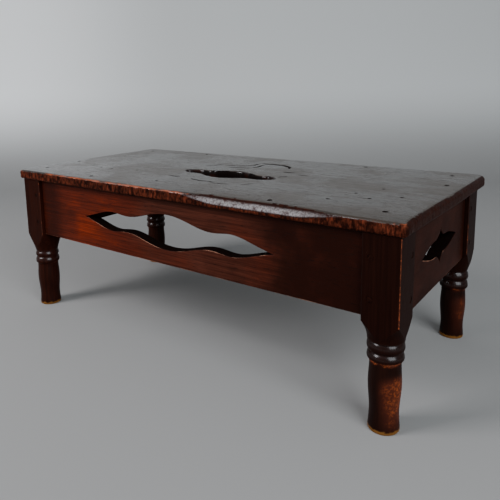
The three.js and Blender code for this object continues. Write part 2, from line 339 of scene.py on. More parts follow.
lamp("window_right", (1.35, -0.68, 0.78), (0.1, 0, 0.1), 1.05, 1.25, 32, (0.90, 0.95, 1))
lamp("window_left", (-0.66, -1.0, 0.80), (0, -0.1, 0.15), 0.5, 0.78, 20, (0.97, 0.96, 1))

# %% [markdown]
# ## Oak grain
# Oak shows three things at once: long soft streaks where the stain took unevenly, fine open pores drawn out
# along the grain, and the broad figure of the growth rings. All three are noise stretched along the grain.
# The group takes the vector with X along the grain, so one group serves boards and posts.

# %% Oak grain group


def make_oak_grain():
    """Streaks, pores and figure, and the height that they give the surface."""
    tree, start, end = group(
        "oak_grain",
        [("Vector", "vector"), ("Figure", "number", 0.5)],
        [("Streaks", "number"), ("Pores", "number"), ("Figure", "number"), ("Height", "number")])

    def stretched(scale, detail, distortion=0.0):
        vector = scaled(tree, start.outputs["Vector"], scale)
        return noise_texture(tree, vector, 1.0, detail, 0.55, distortion)

    broad = ramp(tree, stretched((14, 330, 330), 5.0, 0.4), 0.32, 0.68)
    fine = ramp(tree, stretched((22, 1000, 1000), 3.0, 0.3), 0.34, 0.66)
    streaks = maths(tree, "MULTIPLY_ADD", fine, 0.55, maths(tree, "MULTIPLY", broad, 0.45))
    pores = ramp(tree, stretched((95, 1500, 1500), 2.0), 0.60, 0.72)
    drift = stretched((5, 26, 26), 2.0, 0.6)
    rings = maths(tree, "PINGPONG", maths(tree, "MULTIPLY", drift, 15.0), 1.0)
    figure = maths(tree, "MULTIPLY", ramp(tree, rings, 0.15, 0.95), start.outputs["Figure"])
    sunk = maths(tree, "MULTIPLY", pores, 0.8)
    height = maths(tree, "SUBTRACT", maths(tree, "MULTIPLY", streaks, 0.5), sunk)
    for name, value in (("Streaks", streaks), ("Pores", pores), ("Figure", figure), ("Height", height)):
        tree.links.new(value, end.inputs[name])
    return tree


oak_grain = make_oak_grain()
print(oak_grain.name, "has", len(oak_grain.nodes), "nodes")

# %% [markdown]
# ## Wear
# Handling and feet rub the dark stain off the arrises. It never goes evenly: the bare wood shows in
# patches. The group takes how exposed a place is, from 0 to 1, and breaks it up with noise of the size of a
# patch.

# %% Wear group


def make_wear():
    """A mask of the patches where the stain has gone."""
    tree, start, end = group(
        "wear",
        [("Vector", "vector"), ("Exposed", "number", 0.0), ("Amount", "number", 0.5),
         ("Patch", "number", 120.0), ("Soft", "number", 0.35)],
        [("Mask", "number")])
    given = start.outputs
    coarse = noise_texture(tree, given["Vector"], given["Patch"], 4.0, 0.62)
    threshold = maths(tree, "SUBTRACT", 1.0, given["Amount"])
    met = maths(tree, "SUBTRACT", maths(tree, "MULTIPLY", given["Exposed"], 1.35), threshold)
    broken = maths(tree, "ADD", met, maths(tree, "MULTIPLY_ADD", coarse, 1.6, -0.8))
    tree.links.new(ramp(tree, broken, 0.0, given["Soft"]), end.inputs["Mask"])
    return tree


wear = make_wear()
print(wear.name, "has", len(wear.nodes), "nodes")

# %% [markdown]
# ## Ticks
# The board's front edge is covered with short upright nicks, from saw and plane marks and from centuries of
# knocks. They are narrow along the edge and tall across it, so the noise is stretched upright.

# %% Ticks group


def make_ticks():
    """A mask of short upright nicks."""
    tree, start, end = group("ticks", [("Vector", "vector")], [("Mask", "number")])
    nicks = noise_texture(tree, scaled(tree, start.outputs["Vector"], (950, 950, 150)), 1.0, 3.0, 0.6)
    tree.links.new(ramp(tree, nicks, 0.38, 0.62), end.inputs["Mask"])
    return tree


ticks = make_ticks()
print(ticks.name, "has", len(ticks.nodes), "nodes")

# %% [markdown]
# ## Finishes
# The stain is darkest on the posts, redder on the friezes and brown on the board. Where it has gone, the
# oak is orange, and tan at the feet. Two values painted on the meshes steer the wear. "arris" says how much
# gloss the rubbing of hands has left, and "bare" says how much of its stain a place has lost; on some
# arrises and shafts it also carries painted glints and sheen.

# %% Colours
board_dark, board_brown = (0.009, 0.006, 0.0045), (0.038, 0.025, 0.0165)
edge_dark, edge_red, edge_orange = (0.012, 0.0028, 0.0015), (0.105, 0.022, 0.010), (0.20, 0.055, 0.024)
# The friezes' brown is greyed to stand in for a painted sheen.
frieze_dark, frieze_brown_sheen = (0.0125, 0.0029, 0.0016), (0.066, 0.0175, 0.0100)
# The friezes' orange is stain and also the left lamp's glow, painted into the colour.
frieze_red, frieze_orange_glow = (0.078, 0.0115, 0.0048), (0.185, 0.020, 0.0042)
post_dark, post_red = (0.0050, 0.0014, 0.0009), (0.014, 0.0038, 0.0022)
# The rubbed red is worn stain, and on the back right leg partly a painted sheen.
post_warm, rubbed_red_and_sheen = (0.031, 0.0060, 0.0028), (0.052, 0.0115, 0.0060)
# The pale line is worn wood and partly painted glints along the friezes' rims.
bare_orange, bare_tan, pale_wear_and_glint = (0.215, 0.047, 0.013), (0.130, 0.055, 0.013), (0.42, 0.20, 0.125)
# The black for cuts is dirt and also painted shade, in cracks, pits and slot walls, and darkens pores.
dirt_and_shade_black, underside_brown = (0.003, 0.0014, 0.0010), (0.040, 0.018, 0.009)
iron_dark, iron_brown = (0.008, 0.006, 0.005), (0.022, 0.016, 0.013)

# %% Finish helpers


def along_grain(tree, axis):
    """Object coordinates, and the same with X along the grain, which runs along the named axis."""
    place = object_place(tree)
    if axis == "X":
        return place, place
    order = {"Y": "YXZ", "Z": "ZXY"}[axis]
    parts = parts_of(tree, place)
    joined = add(tree, "ShaderNodeCombineXYZ", {name: parts[source] for name, source in zip("XYZ", order)})
    return place, joined.outputs["Vector"]


def bumped(tree, shader, height, strength, distance):
    """Relief in a finish, from a height that changes over it."""
    made = add(tree, "ShaderNodeBump", {"Height": height, "Strength": strength, "Distance": distance})
    tree.links.new(made.outputs["Normal"], shader.inputs["Normal"])


def painted(tree, name):
    """A value that was painted on the mesh."""
    return add(tree, "ShaderNodeAttribute", attribute_name=name).outputs["Fac"]


# %% [markdown]
# ### The waxed board
# Wax and polish make the top mirror the room, while the open grain stays dull and dark. One roughness all
# over would look like plastic, so the pores, the streaks and a slow cloudiness each change it a little.

# %% Board finish


def make_board_finish():
    """Brown and waxed, with dull dark pores."""
    made, tree, shader = new_finish("waxed_board", 0.25, 0.46)
    place, grain_place = along_grain(tree, "X")
    grain = place_group(tree, oak_grain, {"Vector": grain_place, "Figure": 0.7})
    cloudy = ramp(tree, noise_texture(tree, place, 17.0, 4.0, 0.6), 0.35, 0.68)
    colour = mixed(tree, maths(tree, "MULTIPLY", grain["Streaks"], 0.9), board_dark, board_brown)
    colour = mixed(tree, maths(tree, "MULTIPLY", cloudy, 0.75), colour, board_brown)
    colour = mixed(tree, maths(tree, "MULTIPLY", grain["Pores"], 0.8), colour, dirt_and_shade_black)
    worn = place_group(tree, wear, {"Vector": place, "Exposed": painted(tree, "bare"), "Amount": 0.5,
                                    "Patch": 90.0})
    colour = mixed(tree, worn["Mask"], colour, bare_orange)
    tree.links.new(colour, shader.inputs["Base Color"])
    dull = maths(tree, "MULTIPLY_ADD", grain["Pores"], 0.35, ramp(tree, cloudy, 0.0, 1.0, 0.17, 0.27))
    dull = maths(tree, "MULTIPLY_ADD", grain["Streaks"], 0.13, dull)
    tree.links.new(dull, shader.inputs["Roughness"])
    bumped(tree, shader, grain["Height"], 0.35, 0.3 * mm)
    return made


board_finish = make_board_finish()
print(board_finish.name, "has", len(board_finish.node_tree.nodes), "nodes")

# %% [markdown]
# ### The worn edge
# The edge is scored with upright nicks. It is red where the stain holds and orange where it has worn
# through, and the broad bevel at the front has a sheen that chips break up. The sheen is a coat over the
# wood, painted on the mesh as "arris", and the wood under it is kept dark, as it is where polish has built
# up.

# %% Board edge finish


def make_board_edge_finish():
    """Scored and mottled, with an orange wear and a chipped sheen."""
    made, tree, shader = new_finish("worn_board_edge", 0.45, 0.02, coat_roughness=0.3)
    place, grain_place = along_grain(tree, "X")
    grain = place_group(tree, oak_grain, {"Vector": grain_place, "Figure": 0.4})
    nicks = place_group(tree, ticks, {"Vector": place})["Mask"]
    upright = scaled(tree, place, (170, 170, 85))
    mottle = noise_texture(tree, upright, 2.2, 3.0, 0.65)
    colour = mixed(tree, ramp(tree, mottle, 0.36, 0.66), edge_dark, edge_red)
    colour = mixed(tree, maths(tree, "MULTIPLY", nicks, 0.65), colour, dirt_and_shade_black)
    worn = place_group(tree, wear, {"Vector": upright, "Exposed": painted(tree, "bare"), "Amount": 0.5,
                                    "Patch": 1.0, "Soft": 1.0})
    broken = ramp(tree, nicks, 0.0, 1.0, 1.0, 0.3)
    colour = mixed(tree, maths(tree, "MULTIPLY", worn["Mask"], broken), colour, edge_orange)
    colour = mixed(tree, ramp(tree, painted(tree, "arris"), 0.0, 0.15, 0.0, 0.85), colour, edge_dark)
    tree.links.new(colour, shader.inputs["Base Color"])
    chipped = maths(tree, "MULTIPLY", ramp(tree, mottle, 0.52, 0.64, 1.0, 0.25),
                    ramp(tree, nicks, 0.3, 1.0, 1.0, 0.45))
    tree.links.new(maths(tree, "MULTIPLY", painted(tree, "arris"), chipped), shader.inputs["Coat Weight"])
    bumped(tree, shader, maths(tree, "SUBTRACT", grain["Height"], nicks), 0.4, 0.3 * mm)
    return made


edge_finish = make_board_edge_finish()
print(edge_finish.name, "has", len(edge_finish.node_tree.nodes), "nodes")

# %% [markdown]
# ### The hand hole and the underside
# The hole's wall is near black, from dirt and from painted shade, and polished in spots by the fingers that
# have carried the stool. The underside was sawn and never stained, and is only brown with age.

# %% Hole and underside finishes


def make_hole_finish():
    """Black, with a coat in spots."""
    made, tree, shader = new_finish("handled_hole", 0.5, 0.03, coat_roughness=0.16)
    spots = noise_texture(tree, object_place(tree), 75.0, 3.0)
    colour = mixed(tree, ramp(tree, spots, 0.5, 0.7), dirt_and_shade_black, edge_dark)
    tree.links.new(colour, shader.inputs["Base Color"])
    gloss = maths(tree, "MULTIPLY", painted(tree, "arris"), ramp(tree, spots, 0.49, 0.56))
    tree.links.new(gloss, shader.inputs["Coat Weight"])
    bumped(tree, shader, spots, 0.5, 0.6 * mm)
    return made


def make_underside_finish():
    """Brown and matt, with a strong figure."""
    made, tree, shader = new_finish("bare_underside", 0.85, 0.2)
    grain_place = along_grain(tree, "X")[1]
    grain = place_group(tree, oak_grain, {"Vector": grain_place, "Figure": 0.9})
    colour = mixed(tree, grain["Streaks"], underside_brown, board_brown)
    colour = mixed(tree, maths(tree, "MULTIPLY", grain["Figure"], 0.6), colour, board_dark)
    tree.links.new(colour, shader.inputs["Base Color"])
    bumped(tree, shader, grain["Height"], 0.5, 0.5 * mm)
    return made


hole_finish = make_hole_finish()
underside_finish = make_underside_finish()
print("finishes", hole_finish.name, "and", underside_finish.name)

# %% [markdown]
# ### The friezes' stain and painted light
# The friezes wear a red stain under old varnish. The long ones are nearly black at the right and glow at the
# left, partly from an uneven stain and partly from the left lamp's light painted into the colour. Two ramps
# along the board, stirred by slow noise, choose between four colours. Painted shade darkens them under the
# board and beside the left post. Their brown is greyed as a painted sheen, and the short friezes are brown
# all over.

# %% Frieze finishes


def make_frieze_finish(name, axis, specular, stain_light_and_shade_at_left):
    """Dark, brown, red and orange stain blended along the board, with painted glow, sheen and shade."""
    made, tree, shader = new_finish(name, 0.4, specular)
    place, grain_place = along_grain(tree, axis)
    grain = place_group(tree, oak_grain, {"Vector": grain_place, "Figure": 0.8})
    parts = parts_of(tree, place)
    drift = maths(tree, "MULTIPLY_ADD", noise_texture(tree, place, 17.0, 4.0, 0.6), 1.7, -0.85)
    # Painted shade under the board's overhang.
    painted_shade = ramp(tree, parts["Z"], 144 * mm, 153 * mm, 0.0, 0.6)
    if stain_light_and_shade_at_left:
        brown = maths(tree, "ADD", ramp(tree, parts["X"], 160 * mm, 20 * mm), drift)
        # Partly stain and partly the left lamp's glow, painted into the colour.
        left_stain_and_light = maths(tree, "ADD", ramp(tree, parts["X"], 30 * mm, -140 * mm, 0.0, 0.95), drift)
        # Painted shade beside the left post.
        shade_beside_post = ramp(tree, parts["X"], -150 * mm, -176 * mm, 0.0, 0.8)
        painted_shade = maths(tree, "MAXIMUM", painted_shade, shade_beside_post)
    else:
        brown = maths(tree, "ADD", drift, 0.24)
        left_stain_and_light = maths(tree, "ADD", drift, -0.1)
    # The brown is greyed as a painted sheen.
    colour = mixed(tree, ramp(tree, brown, -0.05, 0.95), frieze_dark, frieze_brown_sheen)
    colour = mixed(tree, ramp(tree, left_stain_and_light, 0.0, 0.6), colour, frieze_red)
    orange_stain_and_glow = maths(tree, "MULTIPLY", ramp(tree, left_stain_and_light, 0.62, 1.25),
                 ramp(tree, grain["Figure"], 0.0, 0.8, 0.35, 1.0))
    colour = mixed(tree, orange_stain_and_glow, colour, frieze_orange_glow)
    colour = mixed(tree, maths(tree, "MULTIPLY", grain["Streaks"], 0.75), colour, frieze_dark)
    colour = mixed(tree, maths(tree, "MULTIPLY", grain["Pores"], 0.7), colour, dirt_and_shade_black)
    colour = mixed(tree, painted_shade, colour, frieze_dark)
    # Pale lines where the rims are worn, partly painted glints.
    worn = place_group(tree, wear, {"Vector": place, "Exposed": painted(tree, "bare"), "Amount": 0.5,
                                    "Patch": 60.0})
    colour = mixed(tree, maths(tree, "MULTIPLY", worn["Mask"], 0.8), colour, pale_wear_and_glint)
    tree.links.new(colour, shader.inputs["Base Color"])
    bumped(tree, shader, grain["Height"], 0.3, 0.3 * mm)
    return made


side_frieze_finish = make_frieze_finish("frieze_stain_and_painted_light_long", "X", 0.04, True)
end_frieze_finish = make_frieze_finish("frieze_stain_and_painted_light_end", "Y", 0.02, False)
print("finishes", side_frieze_finish.name, "and", end_frieze_finish.name)

# %% [markdown]
# ### The posts' polish
# The legs are nearly black, a little redder at the left, and glossy on their rings. The rubbed shafts show
# red and then orange oak through the polish, with dark specks left in the pores, and feet have been trodden
# bare along the floor. The rubbed side faces the right lamp, and on the back right leg its red is partly a
# painted sheen; on some arrises the bareness is partly painted glints. Above the fillet the wear is sharper,
# because there it is the chipping of a hard corner.

# %% Post finish


def make_post_finish():
    """Nearly black, with rubbed shafts and bare feet."""
    made, tree, shader = new_finish("post_polish", 0.4, 0.025, coat_roughness=0.21)
    place, grain_place = along_grain(tree, "Z")
    grain = place_group(tree, oak_grain, {"Vector": grain_place, "Figure": 0.5})
    parts = parts_of(tree, place)
    warm = mixed(tree, ramp(tree, parts["X"], 100 * mm, -200 * mm, 0.0, 0.8), post_red, post_warm)
    colour = mixed(tree, maths(tree, "MULTIPLY_ADD", grain["Streaks"], 0.55, 0.2), post_dark, warm)
    soft = ramp(tree, parts["Z"], 51 * mm, 54 * mm, 1.1, 0.3)
    worn = place_group(tree, wear, {"Vector": place, "Exposed": painted(tree, "bare"), "Amount": 0.5,
                                    "Patch": 150.0, "Soft": soft})
    # The rubbed red is worn stain, and on the back right leg partly a painted sheen.
    colour = mixed(tree, ramp(tree, painted(tree, "bare"), 0.15, 0.85, 0.0, 0.8), colour, rubbed_red_and_sheen)
    left_on = ramp(tree, noise_texture(tree, place, 520.0, 2.0, 0.7), 0.42, 0.66, 0.1, 1.0)
    colour = mixed(tree, maths(tree, "MULTIPLY", worn["Mask"], left_on), colour, bare_orange)
    tread = ramp(tree, parts["Z"], 6.0 * mm, 0.5 * mm)
    trodden = place_group(tree, wear, {"Vector": place, "Exposed": tread, "Amount": 0.44, "Patch": 260.0,
                                       "Soft": 0.6})
    colour = mixed(tree, trodden["Mask"], colour, bare_tan)
    tree.links.new(colour, shader.inputs["Base Color"])
    gloss = maths(tree, "MULTIPLY", painted(tree, "arris"), ramp(tree, grain["Pores"], 0.0, 1.0, 1.0, 0.2))
    tree.links.new(gloss, shader.inputs["Coat Weight"])
    bumped(tree, shader, grain["Height"], 0.2, 0.3 * mm)
    return made


post_finish = make_post_finish()
print(post_finish.name, "has", len(post_finish.node_tree.nodes), "nodes")

# %% [markdown]
# ### Small finishes
# Dirt and painted shade in the cuts, the pegs' end grain and the nails' wrought iron are only ever seen a
# few millimetres at a time, so each is two close colours in small spots with a light relief.

# %% Small finishes


def make_plain_finish(name, dark, light, roughness, scale):
    """One colour that drifts into another in small spots."""
    made, tree, shader = new_finish(name, roughness, 0.03)
    spots = noise_texture(tree, object_place(tree), scale, 3.0)
    tree.links.new(mixed(tree, ramp(tree, spots, 0.35, 0.65), dark, light), shader.inputs["Base Color"])
    bumped(tree, shader, spots, 0.4, 0.3 * mm)
    return made


# Dirt and painted shade, for the cracks, the pits and the friezes' slot walls.
dirt_and_shade_finish = make_plain_finish("dirt_and_painted_shade", dirt_and_shade_black, post_dark, 0.8, 400.0)
peg_finish = make_plain_finish("peg_end_grain", post_dark, post_red, 0.45, 900.0)
iron_finish = make_plain_finish("wrought_iron", iron_dark, iron_brown, 0.55, 700.0)
print("finishes", dirt_and_shade_finish.name, peg_finish.name, "and", iron_finish.name)

# %% [markdown]
# ## Modelling helpers
# A piece starts as a bmesh, becomes an object at the origin, and is settled: its cuts are applied, so that
# what is left is one clean closed mesh. Then it rides on the stool and stands for its construction node.
# Cutting with Boolean modifiers is close to what a joiner does, and the manifold solver keeps every mesh
# closed.

# %% Objects and cuts


def object_of(name, bm):
    """An object at the origin, made of a bmesh."""
    mesh = bpy.data.meshes.new(name)
    bm.to_mesh(mesh)
    bm.free()
    made = bpy.data.objects.new(name, mesh)
    bpy.context.scene.collection.objects.link(made)
    return made


def settle(piece):
    """Apply a piece's modifiers to its mesh."""
    graph = bpy.context.evaluated_depsgraph_get()
    made = bpy.data.meshes.new_from_object(piece.evaluated_get(graph))
    old = piece.data
    piece.modifiers.clear()
    piece.data = made
    bpy.data.meshes.remove(old)


def combine(piece, others, operation):
    """Cut others from a piece, or keep only what it shares with them, and remove them."""
    for other in others:
        modifier = piece.modifiers.new(operation.lower(), "BOOLEAN")
        modifier.operation = operation
        modifier.solver = "MANIFOLD"
        modifier.object = other
    settle(piece)
    for other in others:
        old = other.data
        bpy.data.objects.remove(other)
        bpy.data.meshes.remove(old)


# %% Finishing a piece


def finish_piece(piece, node, materials, sharp_degrees=38):
    """Smooth a piece except at its sharp edges, give it its finishes, and let it stand for its node."""
    mesh = piece.data
    chosen = [0] * len(mesh.polygons)
    mesh.polygons.foreach_get("material_index", chosen)
    mesh.materials.clear()
    for material in materials:
        mesh.materials.append(material)
    mesh.polygons.foreach_set("material_index", chosen)
    mesh.polygons.foreach_set("use_smooth", [True] * len(mesh.polygons))
    mesh.set_sharp_from_angle(angle=math.radians(sharp_degrees))
    weighted = piece.modifiers.new("weighted_normals", "WEIGHTED_NORMAL")
    weighted.keep_sharp = True
    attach(piece, "root")
    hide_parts(node)
    print(piece.name, "has", sum(len(p.vertices) - 2 for p in mesh.polygons), "triangles")


# %% Cutters and a smooth step


def block(name, low, high):
    """A plain block between two corners, to cut a mortise with."""
    bm = bmesh.new()
    bmesh.ops.create_cube(bm, size=1)
    bmesh.ops.scale(bm, verts=bm.verts[:], vec=high - low)
    bmesh.ops.translate(bm, verts=bm.verts[:], vec=(low + high) / 2)
    return object_of(name, bm)


def rod(name, start, end, radius, segments=16):
    """A plain rod between two points, to cut a hole with."""
    bm = bmesh.new()
    bmesh.ops.create_cone(bm, cap_ends=True, segments=segments, radius1=radius, radius2=radius,
                          depth=(end - start).length)
    bmesh.ops.rotate(bm, verts=bm.verts[:], cent=(0, 0, 0),
                     matrix=(end - start).to_track_quat("Z", "Y").to_matrix())
    bmesh.ops.translate(bm, verts=bm.verts[:], vec=(start + end) / 2)
    return object_of(name, bm)


def eased(value, low, high):
    """0 below low, 1 above high, and a smooth rise between; it falls where low is above high."""
    share = min(1.0, max(0.0, (value - low) / (high - low)))
    return share * share * (3 - 2 * share)


# %% [markdown]
# ## Outlines of the piercings
# The slots were sawn to lines drawn with a template. A quarter of a slot is a few cubic curves laid end to
# end, and mirroring makes it whole, so only the swellings, necks and tips have to be known.

# %% Outlines of the piercings


def curve_through(start, *curves, steps=14):
    """Cubic curves laid end to end, each given by two handles and an end, as points in metres."""
    points = [Vector(start)]
    for curve in curves:
        handles = [Vector(pair) for pair in curve]
        points += interpolate_bezier(points[-1], *handles, steps + 1)[1:]
    return [p * mm for p in points]


def mirrored(quarter):
    """A quarter outline mirrored about both centre lines into a whole one."""
    lower = [Vector((p.x, -p.y)) for p in reversed(quarter[:-1])]
    right = quarter + lower
    left = [Vector((-p.x, p.y)) for p in reversed(right[1:-1])]
    return right + left


def waisted_outline(slot, steps=14):
    """A long slot that swells in the middle and again before each tip."""
    belly, neck, lobe = slot["belly"], slot["neck"], slot["lobe"]
    neck_at, lobe_run, tip_run = slot["neck_run"], slot["lobe_run"], slot["tip_run"]
    lobe_at = neck_at + lobe_run
    return mirrored(curve_through(
        (0, belly),
        ((neck_at * 0.42, belly), (neck_at * 0.66, neck), (neck_at, neck)),
        ((neck_at + lobe_run / 3, neck), (lobe_at - lobe_run / 3, lobe), (lobe_at, lobe)),
        ((lobe_at + tip_run * 0.3, lobe), (lobe_at + tip_run * slot["tip_hold"], lobe * slot["tip_fullness"]),
         (lobe_at + tip_run, 0)),
        steps=steps))


def peaked_outline(slot):
    """A short slot with a pointed middle and pointed tips."""
    notch_at, notch, run = slot["notch_run"], slot["notch"], slot["tip_run"]
    rise = slot["peak"] - notch
    return mirrored(curve_through(
        (0, slot["peak"]),
        ((notch_at * 0.2, notch + rise * 0.4), (notch_at * 0.6, notch), (notch_at, notch)),
        ((notch_at + run * 0.25, notch), (notch_at + run * slot["tip_hold"], notch * slot["tip_fullness"]),
         (notch_at + run, 0))))


# %% [markdown]
# ## The top board
# The board is pulled up out of a loop of points, one extrusion for each step of its edge, because the
# rounding isn't the same all the way round. Feet and hands have worn the middle of the front edge to a
# broad bevel, the ends are nearly half round, and the rest is still crisp. The hand hole's wall is pulled
# up in the same way, and its rim is ragged. The two faces are then filled between the loops, and planes are
# cut through the board so that it can sag: it is lower along the front, where feet came off it, and it is
# nowhere quite flat.

# %% Board outline


def board_rim(half_x, half_y, radius, step):
    """Points round the board with the direction that faces outwards at each, a step apart on the sides."""
    points = []
    corners = ((1, 1, 0), (-1, 1, 90), (-1, -1, 180), (1, -1, 270))
    for i, (sx, sy, start) in enumerate(corners):
        centre = Vector((sx * (half_x - radius), sy * (half_y - radius)))
        for angle in range(start, start + 91, 15):
            outward = Vector((math.cos(math.radians(angle)), math.sin(math.radians(angle))))
            points.append((centre + radius * outward, outward))
        last, outward = points[-1]
        nx, ny, _ = corners[(i + 1) % 4]
        following = Vector((nx * (half_x - radius), ny * (half_y - radius))) + radius * outward
        count = max(1, round((following - last).length / step))
        points += [(last.lerp(following, k / count), outward) for k in range(1, count)]
    return points


# %% Places along the front edge


def front_wear(x):
    """How broadly the front edge is worn at a place along it, 0 for crisp and 1 for the broadest."""
    return eased(x, 20 * mm, 62 * mm) * eased(x, 185 * mm, 138 * mm)


def band(x, low, high, soft):
    """1 between two places in millimetres along the board, and 0 outside them, with soft ends."""
    return eased(x, (low - soft) * mm, low * mm) * eased(x, (high + soft) * mm, high * mm)


# %% Edge section
# Each step of the worn bevel from its foot up: how far in, how far below the top, both in millimetres, and
# its sheen.
worn_bevel = ((0, 8.4, 0.12), (0.15, 7.8, 0.4), (0.55, 6.8, 0.85), (1.4, 5.0, 0.85), (2.3, 3.2, 0.85),
              (2.9, 2.2, 0.6), (3.6, 1.3, 0.2), (4.6, 0.5, 0.1), (6, 0, 0.1))


def rim_bareness(x, front, end, corner):
    """How bare the upper arris, the wall and the lower arris are at a place along the edge."""
    near_right = eased(x, 178 * mm, 206 * mm)
    orange_line = band(x, -175, 45, 12)
    flecks = max(band(x, -190, -150, 6), band(x, -96, -70, 6), 0.5 * band(x, 40, 120, 20))
    blob = corner if x < 0 else 0.3 * corner
    upper = front * (0.18 + 0.38 * orange_line + 0.20 * near_right) + 0.07 * end + 0.45 * blob
    wall = front * (0.10 + 0.12 * band(x, -220, 0, 40) + 0.34 * near_right) + 0.3 * blob
    lower = front * (0.16 + 0.42 * flecks + 0.1 * near_right) + 0.02 * end + 0.25 * blob
    return upper, wall, lower


def rim_section(point, outward, thickness, lower_steps=6, wall_steps=4):
    """The edge's section at a point, from the lower face up, as steps of inset, height, arris and bare."""
    front, end, right = max(0.0, -outward.y), abs(outward.x), max(0.0, outward.x)
    rough = noise.fractal(Vector((point.x, point.y, 0)) * 90, 0.8, 2.0, 4)
    fine = noise.noise(Vector((point.x, point.y, 3)) * 420)
    broad = front_wear(point.x) * front
    upper = (2.6 + 1.8 * end + 0.25 * rough) * mm
    lower = (1.7 + 1.2 * end + 0.6 * max(0.0, rough) + 0.6 * max(0.0, fine)) * mm
    chip = max(0.0, rough) * 0.4 * mm
    corner = eased(abs(point.x), 213 * mm, 226 * mm) * eased(abs(point.y), 95 * mm, 104 * mm)
    shorter = 2.0 * mm * right * eased(point.y, 30 * mm, -100 * mm)
    upper_bare, wall_bare, lower_bare = rim_bareness(point.x, front, end, corner)
    end_gloss = 0.16 * right
    made = []
    for k in range(lower_steps + 1):
        angle = math.pi / 2 * k / lower_steps
        share = math.sin(2 * angle)
        made.append((lower * (1 - math.sin(angle)) + chip * math.sin(angle), lower * (1 - math.cos(angle)),
                     end_gloss, lower_bare * share + 0.6 * wall_bare * math.sin(angle) * (1 - share)))
    below = upper + (worn_bevel[0][1] * mm - upper) * broad
    for k in range(1, wall_steps):
        share = k / wall_steps
        height = lower + (thickness - lower - below) * share
        dent = 0.3 * mm * max(0.0, noise.noise(Vector((point.x * 160, point.y * 160, height * 300))))
        made.append((chip * (1 - 0.5 * share) + dent, height, end_gloss, wall_bare * (0.6 + 0.4 * share)))
    last = len(worn_bevel) - 1
    for k, (worn_inset, worn_drop, worn_sheen) in enumerate(worn_bevel):
        angle = math.pi / 2 * k / last
        share = math.sin(2 * angle)
        inset = upper * (1 - math.cos(angle)) * (1 - broad) + worn_inset * mm * broad
        drop = upper * (1 - math.sin(angle)) * (1 - broad) + worn_drop * mm * broad
        sheen = broad * worn_sheen + end_gloss * (k < last)
        bare = upper_bare * share + wall_bare * math.cos(angle) * (1 - share)
        made.append((inset + chip * 0.5 * math.cos(angle), thickness - drop, sheen,
                     bare * max(0.0, 1 - 1.25 * broad)))
    return [(inset + shorter, height, arris, bare) for inset, height, arris, bare in made]


# %% Hand hole section and sag


def hole_section(point, thickness):
    """The hand hole's wall from the lower face up, both rims rounded and the upper one badly chipped."""
    fine = noise.noise(Vector((point.x, point.y, 0)) * 330)
    chip = max(0.0, noise.fractal(Vector((point.x, point.y, 5)) * 140, 0.8, 2.0, 3)) * 1.3 * mm
    steps = ((1.0, 0.0, 0.0), (0.3, 0.35, 0.5), (0.0, 1.0, 0.3), (-0.2, 4.0, 0.1), (-0.4, 7.0, 0.1),
             (0.0, thickness / mm - 1.4, 0.3), (0.35, thickness / mm - 0.6, 0.9), (1.2, thickness / mm, 0.3))
    made = []
    for inset, height, arris in steps:
        wave = noise.noise(Vector((point.x * 90, point.y * 90, height * 0.25))) * 0.5
        top_chip = chip if height > thickness / mm - 2 else chip * 0.3
        made.append(((inset + wave) * mm + top_chip, height * mm, arris, arris * max(0.0, fine) * 0.9))
    return made


def sag(x, y):
    """How far the top has worn down at a place."""
    front = max(0.0, 1 - (y - board_low.y) / (26 * mm))
    right = max(0.0, 1 - (board_high.x - x) / (16 * mm))
    left = max(0.0, 1 - (x - board_low.x) / (12 * mm))
    ripple = 0.5 + 0.5 * noise.noise(Vector((x * 13, y * 24, 1)))
    patchy = 1 + 0.3 * noise.noise(Vector((x * 30, 0, 7)))
    return (1.45 * patchy * front ** 1.7 + 0.5 * right ** 2 + 0.4 * left ** 2 + 0.22 * ripple) * mm


# %% Loft


def pull_up(bm, count, steps, place):
    """Pull a loop of points up, step by step; place(vert, i, step) sets each. Returns both end loops."""
    order = bm.verts.layers.int["order"]
    ring = [bm.verts.new() for _ in range(count)]
    for i, vert in enumerate(ring):
        vert[order] = i
        place(vert, i, 0)
    edges = [bm.edges.new(pair) for pair in zip(ring, ring[1:] + ring[:1])]
    first = edges
    for step in range(1, steps):
        grown = bmesh.ops.extrude_edge_only(bm, edges=edges)["geom"]
        ring = {g for g in grown if isinstance(g, bmesh.types.BMVert)}
        edges = [g for g in grown if isinstance(g, bmesh.types.BMEdge) and set(g.verts) <= ring]
        for vert in ring:
            place(vert, vert[order], step)
    return first, edges


def pull_edge(bm, rim, sections):
    """Pull the edge of a flat board up through the section at each of its points."""
    arris, bare = bm.verts.layers.float["arris"], bm.verts.layers.float["bare"]

    def place(vert, i, step):
        point, outward = rim[i]
        inset, height, vert[arris], vert[bare] = sections[i][step]
        vert.co = (*(point - outward * inset), height)

    return pull_up(bm, len(rim), len(sections[0]), place)


# %% [markdown]
# ### Cracks, dents and nail holes
# Dry oak opens along its grain, and the top has been struck and stood on. The cracks are V-shaped grooves
# that taper at both ends, and the dents are blunt cones. Both are cut from the board. Each nail sits in a
# hole that is a little wide for it, under a shallow pit, as it is where a nail was punched below the
# surface.

